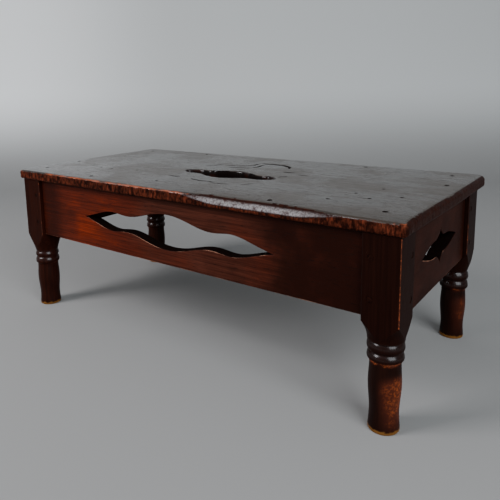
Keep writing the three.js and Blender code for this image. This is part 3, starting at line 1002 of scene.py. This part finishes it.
# %% Where the cracks and dents are
# Each crack has a width and the points that it runs through, all in millimetres.
cracks = (
    (3.6, ((-49.1, 18.2), (-41.4, 25.2), (-37.9, 37.8))),
    (4.4, ((-30.7, 30.4), (-18.3, 34.8), (-7.4, 39.3), (-0.6, 47.5), (-3.2, 62))),
    (4.2, ((-19.1, 20.7), (-5.6, 25.1), (8, 29))),
    (5.0, ((6, 30), (8.5, 38.2), (7.5, 47.7), (8.4, 55))),
    (6.4, ((-3.2, 63.8), (7.8, 61.9), (16.9, 62.6), (28.9, 62.5), (42.2, 53.3), (46, 44))),
    (5.0, ((50, 24.5), (56.2, 23.5), (66, 23.9))),
    (4.0, ((63, -6.5), (69, 4.1))),
    (3.4, ((-3, 13.6), (7.1, 16.6))),
    (3.0, ((72, 16.4), (86, 14.6))),
    (3.4, ((-42, -52), (-30, -54), (-24, -53))),
    (3.8, ((-8, -56), (6, -60), (18, -58.5), (26, -61))),
    (2.8, ((24.8, -65.6), (32, -62.5), (44, -61.2))),
    (2.8, ((53.8, -57), (58.5, -52.4), (61.5, -45.3))),
)
dents = ((-149.3, -52), (-129.8, -52.8), (-95.7, -46.2), (173, -9.5), (159.9, -37.6), (177.4, -51.5),
         (197.6, -34.5), (150, -70), (-30, -82))
crack_opening, crack_depth = 0.7, 1.5 * mm
dent = {"radius": 1.6 * mm, "depth": 0.8 * mm, "floor_share": 0.3}
nail_pit = {"radius": 2.3 * mm, "depth": 1.5 * mm, "floor_share": 0.85}
nail_nodes = [node for node in sorted(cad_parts) if node.startswith("nail_")]
print(len(cracks), "cracks,", len(dents), "dents and", len(nail_nodes), "nails")

# %% Crack cutter


def crack_cutter(line, width, depth):
    """A V-shaped bar along a line on the top, tapering at both ends."""
    corners = [Vector(p) * mm for p in line]
    points = []
    for start, end in zip(corners, corners[1:]):
        count = max(2, round((end - start).length / (3.5 * mm)))
        points += [start.lerp(end, k / count) for k in range(count)]
    points.append(corners[-1])
    bm = bmesh.new()
    bm.verts.layers.int.new("order")

    def place(vert, i, step):
        along = (points[min(step + 1, len(points) - 1)] - points[max(step - 1, 0)]).normalized()
        across = Vector((-along.y, along.x))
        taper = max(0.15, math.sin(math.pi * step / (len(points) - 1)) ** 0.45)
        above, below = 1 * mm, depth * taper
        wander = 1.2 * mm * noise.noise(points[step].to_3d() * 150)
        middle = points[step] + across * wander
        surface = board_high.z - sag(*middle)
        reach = (-1, 1, 0)[i] * width * taper * (below + above) / below
        vert.co = (*(middle + across * reach / 2), surface + (-below if i == 2 else above))

    for loop in pull_up(bm, 3, len(points), place):
        bmesh.ops.triangle_fill(bm, use_beauty=True, edges=loop)
    bmesh.ops.recalc_face_normals(bm, faces=bm.faces[:])
    return object_of("crack_cutter", bm)


# %% Pit and nail hole cutters


def pit_cutter(x, y, radius, depth, floor_share):
    """A blunt cone that stands on its point at the top's surface."""
    bm = bmesh.new()
    above = 0.8 * mm
    rise = (radius - radius * floor_share) / depth
    bmesh.ops.create_cone(bm, cap_ends=True, segments=11, radius1=radius * floor_share,
                          radius2=radius + rise * above, depth=depth + above)
    for vert in bm.verts:
        spread = 1 + 0.16 * noise.noise(vert.co * 500 + Vector((x, y, 0)) * 90)
        vert.co.x *= spread
        vert.co.y *= spread
    surface = board_high.z - sag(x, y)
    bmesh.ops.translate(bm, verts=bm.verts[:], vec=(x, y, surface + (above - depth) / 2))
    return object_of("pit_cutter", bm)


def middle_of(node):
    """The middle of a construction node's box."""
    low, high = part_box(node)
    return (low + high) / 2


def nail_hole(node, bottom, top):
    """A rod that clears a nail between two heights, a little wider than it is."""
    middle = middle_of(node)
    return rod("nail_hole", Vector((middle.x, middle.y, bottom)), Vector((middle.x, middle.y, top)),
               nail_hole_radius, 8)


def board_cutters():
    """Everything that is cut out of the board."""
    cutters = [crack_cutter(line, crack_opening * width * mm, crack_depth) for width, line in cracks]
    cutters += [pit_cutter(x * mm, y * mm, **dent) for x, y in dents]
    for node in nail_nodes:
        middle = middle_of(node)
        cutters += [pit_cutter(middle.x, middle.y, **nail_pit),
                    nail_hole(node, board_low.z - 1 * mm, board_high.z)]
    return cutters


# %% Sagging top


def sagging_top(bm, middle, thickness):
    """Cut planes through the board, closest along its edges, and lower its upper part by the sag."""
    half_x, half_y = board_high.x - middle.x, board_high.y - middle.y
    rows = [-half_y + gap * mm for gap in (3, 6, 9, 12, 16, 20, 26)]
    rows += [-half_y + 26 * mm + k * 13 * mm for k in range(1, 14)]
    columns = [half_x - gap * mm for gap in (4, 8, 12, 17)] + [k * 21 * mm for k in range(-10, 11)]
    for axis, places in ((1, rows), (0, columns)):
        for value in places:
            plane_point, plane_normal = Vector((0, 0, 0)), Vector((0, 0, 0))
            plane_point[axis], plane_normal[axis] = value, 1
            bmesh.ops.bisect_plane(bm, geom=bm.verts[:] + bm.edges[:] + bm.faces[:], dist=1e-6,
                                   plane_co=plane_point, plane_no=plane_normal)
    for vert in bm.verts:
        share = eased(vert.co.z, 3 * mm, thickness)
        vert.co.z -= share * sag(vert.co.x + middle.x, vert.co.y + middle.y)


# %% Which finish goes where
end_rim, long_rim = 8 * mm, 7.5 * mm
hole_margin = 2
hole_half_length = (hand_hole["neck_run"] + hand_hole["lobe_run"] + hand_hole["tip_run"] + hole_margin) * mm
hole_half_width = (hand_hole["belly"] + hole_margin) * mm


def board_material(centre, normal):
    """Which finish a face of the board takes: 0 top, 1 worn edge, 2 underside, 3 dirt and shade, 4 hole."""
    if normal.z < -0.9:
        return 2
    drop = board_high.z - sag(centre.x, centre.y) - centre.z
    in_hole = (abs(centre.x - hand_hole_centre.x) < hole_half_length
               and abs(centre.y - hand_hole_centre.y) < hole_half_width)
    on_rim = (min(board_high.x - centre.x, centre.x - board_low.x) < end_rim
              or min(board_high.y - centre.y, centre.y - board_low.y) < long_rim)
    if on_rim:
        broad = front_wear(centre.x) if centre.y < 0 else 0.0
        limit = (1.3 - 1.0 * broad + 0.7 * (1 - 0.6 * broad) * noise.noise(centre * 260)) * mm
        if board_high.x - centre.x < end_rim:
            limit *= 0.35
        return 0 if drop < limit and normal.z > 0.2 else 1
    if in_hole:
        return 0 if drop < 0.3 * mm and normal.z > 0.8 else 4
    # Faces cut into the top take the black of dirt and painted shade.
    return 0 if drop < 0.12 * mm else 3


# %% Board


def make_board():
    """The top, with its hand hole, worn edge, sag, cracks, dents and nail holes."""
    middle = (board_low + board_high) / 2
    thickness = board_high.z - board_low.z
    rim = board_rim(board_high.x - middle.x, board_high.y - middle.y, board_corner, 2 * mm)
    outline = [p + hand_hole_centre for p in waisted_outline(hand_hole, steps=16)]
    hole = []
    for before, point, after in zip(outline[-1:] + outline, outline, outline[1:] + outline[:1]):
        along = (after - before).normalized()
        hole.append((point, Vector((along.y, -along.x))))
    bm = bmesh.new()
    bm.verts.layers.int.new("order")
    for name in ("arris", "bare"):
        bm.verts.layers.float.new(name)
    rim_loops = pull_edge(bm, rim, [rim_section(*place, thickness) for place in rim])
    hole_loops = pull_edge(bm, hole, [hole_section(point, thickness) for point, _ in hole])
    for level in (0, 1):
        bmesh.ops.triangle_fill(bm, use_beauty=True, edges=rim_loops[level] + hole_loops[level])
    sagging_top(bm, middle, thickness)
    bmesh.ops.recalc_face_normals(bm, faces=bm.faces[:])
    bmesh.ops.translate(bm, verts=bm.verts[:], vec=(middle.x, middle.y, board_low.z))
    board = object_of("board", bm)
    combine(board, board_cutters(), "DIFFERENCE")
    for face in board.data.polygons:
        face.material_index = board_material(face.center, face.normal)
    finish_piece(board, "top_board",
                 [board_finish, edge_finish, underside_finish, dirt_and_shade_finish, hole_finish])


make_board()

# %% [markdown]
# ## The friezes
# Each frieze is a board stood on edge, with a slot. It is made flat: an outer and an inner loop of edges,
# filled between them, pulled up to its thickness, and bevelled round both rims. The bevel's middle points
# are where the finish wears through, and the pale lines along the slot and the lower edge are partly painted
# glints. A tenon grows out of each end: the end face is inset to the tenon's section and pulled out to the
# tenon's length.

# %% Pierced board


def pierced_board(outer, inner, thickness, rounding):
    """A flat board of that thickness, lying on the XY plane, with its rims rounded and painted."""
    bm = bmesh.new()
    bare = bm.verts.layers.float.new("bare")
    loops = []
    for outline in (outer, inner):
        verts = [bm.verts.new((p.x, p.y, 0)) for p in outline]
        loops += [bm.edges.new(pair) for pair in zip(verts, verts[1:] + verts[:1])]
    bmesh.ops.triangle_fill(bm, use_beauty=True, edges=loops)
    grown = bmesh.ops.extrude_face_region(bm, geom=bm.faces[:])
    upper = [v for v in grown["geom"] if isinstance(v, bmesh.types.BMVert)]
    bmesh.ops.translate(bm, verts=upper, vec=(0, 0, thickness))
    bmesh.ops.recalc_face_normals(bm, faces=bm.faces[:])
    rims = [e for e in bm.edges if len(e.link_faces) == 2 and e.calc_face_angle() > math.radians(80)
            and abs(e.verts[0].co.z - e.verts[1].co.z) < thickness / 2]
    made = bmesh.ops.bevel(bm, geom=rims, offset=rounding, segments=2, profile=0.5, affect="EDGES",
                           clamp_overlap=False, material=-1)
    bm.normal_update()
    low_edge = min(v.co.y for v in bm.verts) + 2 * mm
    for vert in made["verts"]:
        # The outer rims of the slot and of the lower edge get pale lines, partly painted glints.
        slot_edge = vert.normal.y > 0.3 and abs(vert.co.y) < 20 * mm
        rubbed_and_sheen = vert.normal.z > 0 and (slot_edge or vert.co.y < low_edge)
        if 0.3 < abs(vert.normal.z) < 0.9:
            vert[bare] = (0.6 if rubbed_and_sheen else 0.2) + 0.5 * noise.noise(vert.co * 40)
    return bm


# %% Tenon, place and nail cutters of a frieze


def add_tenon(bm, end, shoulder_at, length, below, above):
    """Inset an end face to the tenon's section and pull it out to the tenon's length."""
    faces = [f for f in bm.faces
             if f.normal.x * end > 0.99 and abs(f.calc_center_median().x - end * shoulder_at) < 1e-5]
    face = max(faces, key=lambda f: f.calc_area())
    bmesh.ops.inset_region(bm, faces=[face], thickness=1 * mm)
    for vert in face.verts:
        way = 0.5 if vert.co.z > frieze_thickness / 2 else -0.5
        vert.co.y = above - tenon["top_shoulder"] if vert.co.y > 0 else below + tenon["bottom_shoulder"]
        vert.co.z = frieze_thickness / 2 + way * tenon["thickness"]
    grown = bmesh.ops.extrude_face_region(bm, geom=[face])
    moved = [v for v in grown["geom"] if isinstance(v, bmesh.types.BMVert)]
    bmesh.ops.delete(bm, geom=[face], context="FACES_ONLY")
    bmesh.ops.translate(bm, verts=moved, vec=(end * length, 0, 0))


def stand_up(bm, along, side, low, high):
    """Turn a flat frieze upright, round to its side of the stool, and move it into its place."""
    across = 1 - along
    shift = Vector((0, 0, (low.z + high.z) / 2))
    shift[across] = side * min(abs(low[across]), abs(high[across]))
    degrees = {(0, -1): 0, (0, 1): 180, (1, 1): 90, (1, -1): -90}[(along, side)]
    for angle, axis in ((90, "X"), (degrees, "Z")):
        matrix = Matrix.Rotation(math.radians(angle), 3, axis)
        bmesh.ops.rotate(bm, verts=bm.verts[:], cent=(0, 0, 0), matrix=matrix)
    bmesh.ops.translate(bm, verts=bm.verts[:], vec=shift)


def nail_cutters(node):
    """Rods that clear the nails driven into a frieze or a post, a little deeper than they are."""
    return [nail_hole(nail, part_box(nail)[0].z - 0.3 * mm, post_top + 1 * mm)
            for nail in nail_nodes if nail.startswith(f"nail_{node}")]


# %% Friezes


def make_frieze(name, outline, along, side, finish):
    """A frieze that runs along an axis, on the side of the stool that is given."""
    node = f"{name}_frieze"
    low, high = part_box(node)
    web_face = post_side - tenon["web"] - frieze_setback - (frieze_thickness + tenon["thickness"]) / 2
    shoulder_at = high[along] - web_face - joint_clearance
    middle = (low.z + high.z) / 2
    below, above = low.z - middle, high.z - middle
    outer = [Vector((shoulder_at * (k / 20 - 1), below)) for k in range(41)]
    outer += [Vector((shoulder_at, above)), Vector((-shoulder_at, above))]
    bm = pierced_board(outer, outline, frieze_thickness, frieze_rounding)
    for end in (-1, 1):
        add_tenon(bm, end, shoulder_at, high[along] - shoulder_at, below, above)
    bmesh.ops.recalc_face_normals(bm, faces=bm.faces[:])
    # The walls inside the slot take the black of dirt and painted shade.
    for face in bm.faces:
        centre = face.calc_center_median()
        inside = abs(centre.x) < shoulder_at - 5 * mm and abs(centre.y) < above - 5 * mm
        face.material_index = 1 if inside and abs(face.normal.z) < 0.5 else 0
    stand_up(bm, along, side, low, high)
    piece = object_of(f"{node}_board", bm)
    combine(piece, nail_cutters(node), "DIFFERENCE")
    finish_piece(piece, node, [finish, dirt_and_shade_finish])


for name, side in (("front", -1), ("back", 1)):
    make_frieze(name, waisted_outline(side_piercing), 0, side, side_frieze_finish)
for name, side in (("left", -1), ("right", 1)):
    make_frieze(name, peaked_outline(end_piercing), 1, side, end_frieze_finish)

# %% [markdown]
# ## The legs
# A turner leaves the top of the leg square and turns the rest. The leg is what two forms share: a turned
# form, spun from a profile, and a square post with worn arrises. Where they cross, the shoulder gets its
# curved edges, just as it does on a lathe. Mortises and peg holes are then cut, as at the bench.

# %% Leg profile
ring_core, ring_lean = 2.2 * mm, 1.0 * mm


def smooth_through(points, steps):
    """A soft curve through points, with steps between each two."""
    ends = [points[0] * 2 - points[1], *points, points[-1] * 2 - points[-2]]
    made = []
    for a, b, c, d in zip(ends, ends[1:], ends[2:], ends[3:]):
        for k in range(steps):
            t = k / steps
            made.append(0.5 * ((2 * b) + (c - a) * t + (2 * a - 5 * b + 4 * c - d) * t * t
                               + (3 * b - a - 3 * c + d) * t ** 3))
    return made + [points[-1]]


def leg_profile(turning):
    """Half the leg's section from the floor up, as radius and height."""
    girth, shaft_top = turning["girth"], turning["shaft_top"] * mm

    def radius(depth):
        return (half_post - depth) * girth

    shaft = [Vector((radius(foot["depth"]), foot["edge_round"]))]
    shaft += [Vector((radius(depth), share * shaft_top)) for share, depth in reversed(shaft_depths)]
    points = [Vector((0, 0)),
              Vector((radius(foot["depth"]) - foot["edge_round"], 0)),
              Vector((radius(foot["depth"]) - 0.3 * foot["edge_round"], 0.3 * foot["edge_round"])),
              *smooth_through(shaft, 10),
              Vector((radius(shaft_depths[0][1]), shaft_top)),
              Vector((radius(fillet_depth), shaft_top + 0.4 * mm))]
    steps = 14
    for middle, half_height, reach in turning["rings"]:
        base = radius(ring_core)
        bulge = reach * mm * girth - base
        for k in range(steps + 1):
            angle = math.pi * (k / steps - 0.5)
            up = (middle + half_height * math.sin(angle)) * mm
            lean = ring_lean * (1 + math.sin(angle)) / 2
            out = base + bulge * math.cos(angle) ** 0.7 - lean if 0 < k < steps else base
            points.append(Vector((max(base, out), up)))
    shoulder = [Vector((r * mm, z * mm)) for r, z in turning["shoulder"]]
    shoulder[0].x *= girth
    points += [p.to_2d() for p in interpolate_bezier(*shoulder, 14)]
    beyond_corner = shoulder[-1].x * 1.02
    return points + [Vector((beyond_corner, shoulder[-1].y + 1 * mm)), Vector((beyond_corner, post_top)),
                     Vector((0, post_top))]


# %% Paint on the turned part
# The side that is rubbed bare faces the right lamp; on the back right leg it is partly a painted sheen.
worn_and_lit_side = Vector((0.96, -0.27))


def turned_paint(place, centre, turning, rubbed_and_sheen):
    """The gloss and the bareness of a place on the turned leg."""
    shaft_top, rings = turning["shaft_top"] * mm, turning["rings"]
    low_ring = (rings[0][0] - rings[0][1]) * mm
    ring_gloss = 0.0
    for middle, half_height, _ in rings:
        share = (place.z / mm - middle) / half_height
        on_ring = eased(share, -1.15, -0.9) * eased(share, 1.15, 0.9)
        ring_gloss = max(ring_gloss, on_ring * (0.06 + 0.44 * eased(share, -0.4, 0.15)))
    gloss = max(ring_gloss, 0.08 * eased(place.z, low_ring, low_ring - 2 * mm))
    facing = max(0.0, place.xy.normalized().dot(worn_and_lit_side)) ** 0.7
    patch = 1.1 * rubbed_and_sheen * facing * eased(place.z, -22 * mm, 32 * mm) * eased(place.z, 53 * mm, 38 * mm)
    on_fillet = shaft_top - 0.2 * mm < place.z < low_ring + 0.9 * mm
    patchy = 0.12 + 0.5 * rubbed_and_sheen + 0.75 * noise.noise((place + centre) * 110)
    return gloss, max(patch, patchy if on_fillet else 0.0)


# %% Turned part


def turned_part(centre, turning, rubbed_and_sheen):
    """The leg as if it were round all the way up, a little uneven, with its paint."""
    bm = bmesh.new()
    arris, bare = bm.verts.layers.float.new("arris"), bm.verts.layers.float.new("bare")
    verts = [bm.verts.new((p.x, 0, p.y)) for p in leg_profile(turning)]
    edges = [bm.edges.new(pair) for pair in zip(verts, verts[1:])]
    bmesh.ops.spin(bm, geom=verts + edges, cent=(0, 0, 0), axis=(0, 0, 1), dvec=(0, 0, 0),
                   angle=2 * math.pi, steps=96, use_merge=True)
    bmesh.ops.remove_doubles(bm, verts=bm.verts[:], dist=1e-6)
    bmesh.ops.recalc_face_normals(bm, faces=bm.faces[:])
    for vert in bm.verts:
        around = vert.co.xy
        if around.length < 1 * mm:
            continue
        vert[arris], vert[bare] = turned_paint(vert.co, centre, turning, rubbed_and_sheen)
        if vert.co.z > 1 * mm:
            waver = noise.noise((vert.co + centre) * 45) * 0.12 * mm
            vert.co += around.normalized().to_3d() * min(0.0, waver)
    bmesh.ops.translate(bm, verts=bm.verts[:], vec=centre)
    return object_of("turned_part", bm)


# %% Square part


def square_part(centre, outward, arrises):
    """The square post, with its arrises rounded, chipped and worn as given, partly as painted glints."""
    bm = bmesh.new()
    arris, bare = bm.verts.layers.float.new("arris"), bm.verts.layers.float.new("bare")
    bmesh.ops.create_cube(bm, size=1)
    bmesh.ops.scale(bm, verts=bm.verts[:], vec=(post_side, post_side, post_top + 2 * mm))
    bmesh.ops.translate(bm, verts=bm.verts[:], vec=(0, 0, post_top / 2))
    uprights = [e for e in bm.edges if abs(e.verts[0].co.z - e.verts[1].co.z) > post_side]
    bmesh.ops.subdivide_edges(bm, edges=uprights, cuts=60, use_grid_fill=True)
    uprights = [e for e in bm.edges if abs(e.verts[0].co.z - e.verts[1].co.z) > 1e-5
                and all(abs(abs(e.verts[0].co[axis]) - half_post) < 1e-6 for axis in (0, 1))]
    made = bmesh.ops.bevel(bm, geom=uprights, offset=post_rounding, segments=3, profile=0.5, affect="EDGES",
                           clamp_overlap=True, material=-1)
    for vert in made["verts"]:
        if min(half_post - abs(vert.co.x), half_post - abs(vert.co.y)) < 1e-6:
            continue
        vert[arris] = 0.3
        which = ("outer" if vert.co.x * outward.x > 0 else "inner") if vert.co.y * outward.y > 0 else "other"
        streak = noise.noise(Vector((vert.co.x, vert.co.y, vert.co.z * 22)) + centre * 50)
        lower_part = eased(vert.co.z, 125 * mm, 92 * mm)
        # Bareness on the arrises; where it is raised on inner arrises it is partly painted glints.
        vert[bare] = arrises.get(which, 0.2) * (0.75 + 0.3 * lower_part) + 0.3 * streak
        chip = max(0.0, noise.noise((vert.co + centre) * 170)) * 0.35 * mm
        vert.co.x -= math.copysign(chip, vert.co.x)
        vert.co.y -= math.copysign(chip, vert.co.y)
    bmesh.ops.recalc_face_normals(bm, faces=bm.faces[:])
    bmesh.ops.translate(bm, verts=bm.verts[:], vec=centre)
    return object_of("square_part", bm)


# %% Peg holes and mortises
peg_play = 0.03 * mm


def peg_line(node):
    """A peg's outer and inner end, from its construction node."""
    low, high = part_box(node)
    middle = (low + high) / 2
    axis = max(range(3), key=lambda k: high[k] - low[k])
    outer, inner = middle.copy(), middle.copy()
    outer[axis] = high[axis] if middle[axis] > 0 else low[axis]
    inner[axis] = low[axis] if middle[axis] > 0 else high[axis]
    return outer, inner


def peg_hole(node):
    """A rod that clears a peg, and comes out through the post's face."""
    outer, inner = peg_line(node)
    beyond = (outer - inner).normalized() * 2 * mm
    return rod("peg_hole", inner - beyond * 0.15, outer + beyond, peg_radius + peg_play)


def mortise(side_name, along, centre, outward):
    """A block that cuts the mortise for one frieze's tenon."""
    across = 1 - along
    low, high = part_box(f"{side_name}_frieze")
    middle = (abs(low[across]) + abs(high[across])) / 2
    half = tenon["thickness"] / 2 + joint_clearance
    start, end = Vector((0, 0, 0)), Vector((0, 0, 0))
    start[along], end[along] = sorted((outward[along] * (high[along] + joint_clearance),
                                       centre[along] - outward[along] * post_side))
    start[across], end[across] = sorted(outward[across] * (middle + way * half) for way in (-1, 1))
    start.z = low.z + tenon["bottom_shoulder"] - joint_clearance
    end.z = high.z - tenon["top_shoulder"] + joint_clearance
    return block("mortise", start, end)


# %% Legs


def make_leg(corner, rubbed_and_sheen, arrises):
    """What a turned form and a square post share, with its mortises and holes cut."""
    outward = Vector((1 if "right" in corner else -1, 1 if "back" in corner else -1, 0))
    centre = Vector((outward.x * abs(leg_centre.x), outward.y * abs(leg_centre.y), 0))
    leg = turned_part(centre, turnings[corner], rubbed_and_sheen)
    combine(leg, [square_part(centre, outward, arrises)], "INTERSECT")
    cuts = [mortise("front" if outward.y < 0 else "back", 0, centre, outward),
            mortise("right" if outward.x > 0 else "left", 1, centre, outward)]
    cuts += [peg_hole(node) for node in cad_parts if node.startswith(f"peg_{corner}_")]
    combine(leg, cuts + nail_cutters(corner), "DIFFERENCE")
    leg.name = f"turned_leg_{corner}"
    finish_piece(leg, f"leg_{corner}", [post_finish])


# Some arrises' bareness is partly painted glints; the back right's rubbed value partly paints a sheen.
for corner, rubbed_and_sheen, arrises in (("front_left", 0.1, {"outer": 0.3, "inner": 0.42}),
                                ("front_right", 0.85, {"outer": 0.75, "inner": 0.25}),
                                ("back_left", 0.2, {"outer": 0.4}),
                                ("back_right", 0.55, {"outer": 0.35, "other": 0.42})):
    make_leg(corner, rubbed_and_sheen, arrises)

# %% [markdown]
# ## Pegs
# A draw peg is split and pared, not turned, so it isn't quite round, and it tapers towards its inner end.
# Its outer end was cut off flush, has sunk a little as the post shrank, and took the same dark finish. A
# cone with a bevelled outer rim is pared by noise round its side.

# %% Pegs
peg_taper, peg_shortness, peg_sink, peg_rounding = 0.9, 0.25 * mm, 0.12 * mm, 0.2 * mm


def make_peg(node):
    """A pared peg along its construction node's line."""
    outer, inner = peg_line(node)
    outwards = (outer - inner).normalized()
    bm = bmesh.new()
    bmesh.ops.create_cone(bm, cap_ends=True, segments=12, radius1=peg_radius * peg_taper, radius2=peg_radius,
                          depth=(outer - inner).length - peg_shortness)
    rims = [e for e in bm.edges if all(v.co.z > 0 for v in e.verts)]
    bmesh.ops.bevel(bm, geom=rims, offset=peg_rounding, segments=2, profile=0.5, affect="EDGES",
                    clamp_overlap=True, material=-1)
    for vert in bm.verts:
        if vert.co.xy.length > 1 * mm:
            pared = 1 - 0.03 * abs(noise.noise(vert.co * 300 + outer * 40))
            vert.co.x *= pared
            vert.co.y *= pared
    bmesh.ops.rotate(bm, verts=bm.verts[:], cent=(0, 0, 0),
                     matrix=(outer - inner).to_track_quat("Z", "Y").to_matrix())
    bmesh.ops.translate(bm, verts=bm.verts[:], vec=(outer + inner) / 2 - outwards * peg_sink)
    bmesh.ops.recalc_face_normals(bm, faces=bm.faces[:])
    finish_piece(object_of(f"pared_{node}", bm), node, [peg_finish], sharp_degrees=50)


for node in sorted(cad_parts):
    if node.startswith("peg_"):
        make_peg(node)

# %% [markdown]
# ## Nails
# A rose-headed nail was drawn out square by the smith, then given its head with a few blows. A four-sided
# cone is the shank. Its upper face is widened, pulled up and poked to a low pyramid, which the blows left.

# %% Nails
nail_tip, nail_neck = 0.65 * mm, 1.7 * mm
head_depth, head_overhang, head_side, head_rise = 1.2 * mm, 0.5 * mm, 0.5 * mm, 0.6 * mm


def make_nail(node):
    """A forged nail, sunk by as much as the top has sagged."""
    low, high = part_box(node)
    middle = (low + high) / 2
    neck_at = high.z - sag(middle.x, middle.y) - head_depth
    bm = bmesh.new()
    shank = bmesh.ops.create_cone(bm, cap_ends=True, segments=4, radius1=nail_tip, radius2=nail_neck,
                                  depth=neck_at - low.z)
    bmesh.ops.rotate(bm, verts=shank["verts"], cent=(0, 0, 0), matrix=Matrix.Rotation(math.pi / 4, 3, "Z"))
    bmesh.ops.translate(bm, verts=shank["verts"], vec=(0, 0, (neck_at + low.z) / 2))
    upper = max(bm.faces, key=lambda f: f.calc_center_median().z)
    bmesh.ops.inset_region(bm, faces=[upper], thickness=-head_overhang)
    grown = bmesh.ops.extrude_discrete_faces(bm, faces=[upper])["faces"]
    bmesh.ops.translate(bm, verts=grown[0].verts[:], vec=(0, 0, head_side))
    centre = bmesh.ops.poke(bm, faces=grown)["verts"]
    bmesh.ops.translate(bm, verts=centre, vec=(0, 0, head_rise))
    bmesh.ops.translate(bm, verts=bm.verts[:], vec=(middle.x, middle.y, 0))
    bmesh.ops.recalc_face_normals(bm, faces=bm.faces[:])
    finish_piece(object_of(f"forged_{node}", bm), node, [iron_finish], sharp_degrees=15)


for node in nail_nodes:
    make_nail(node)
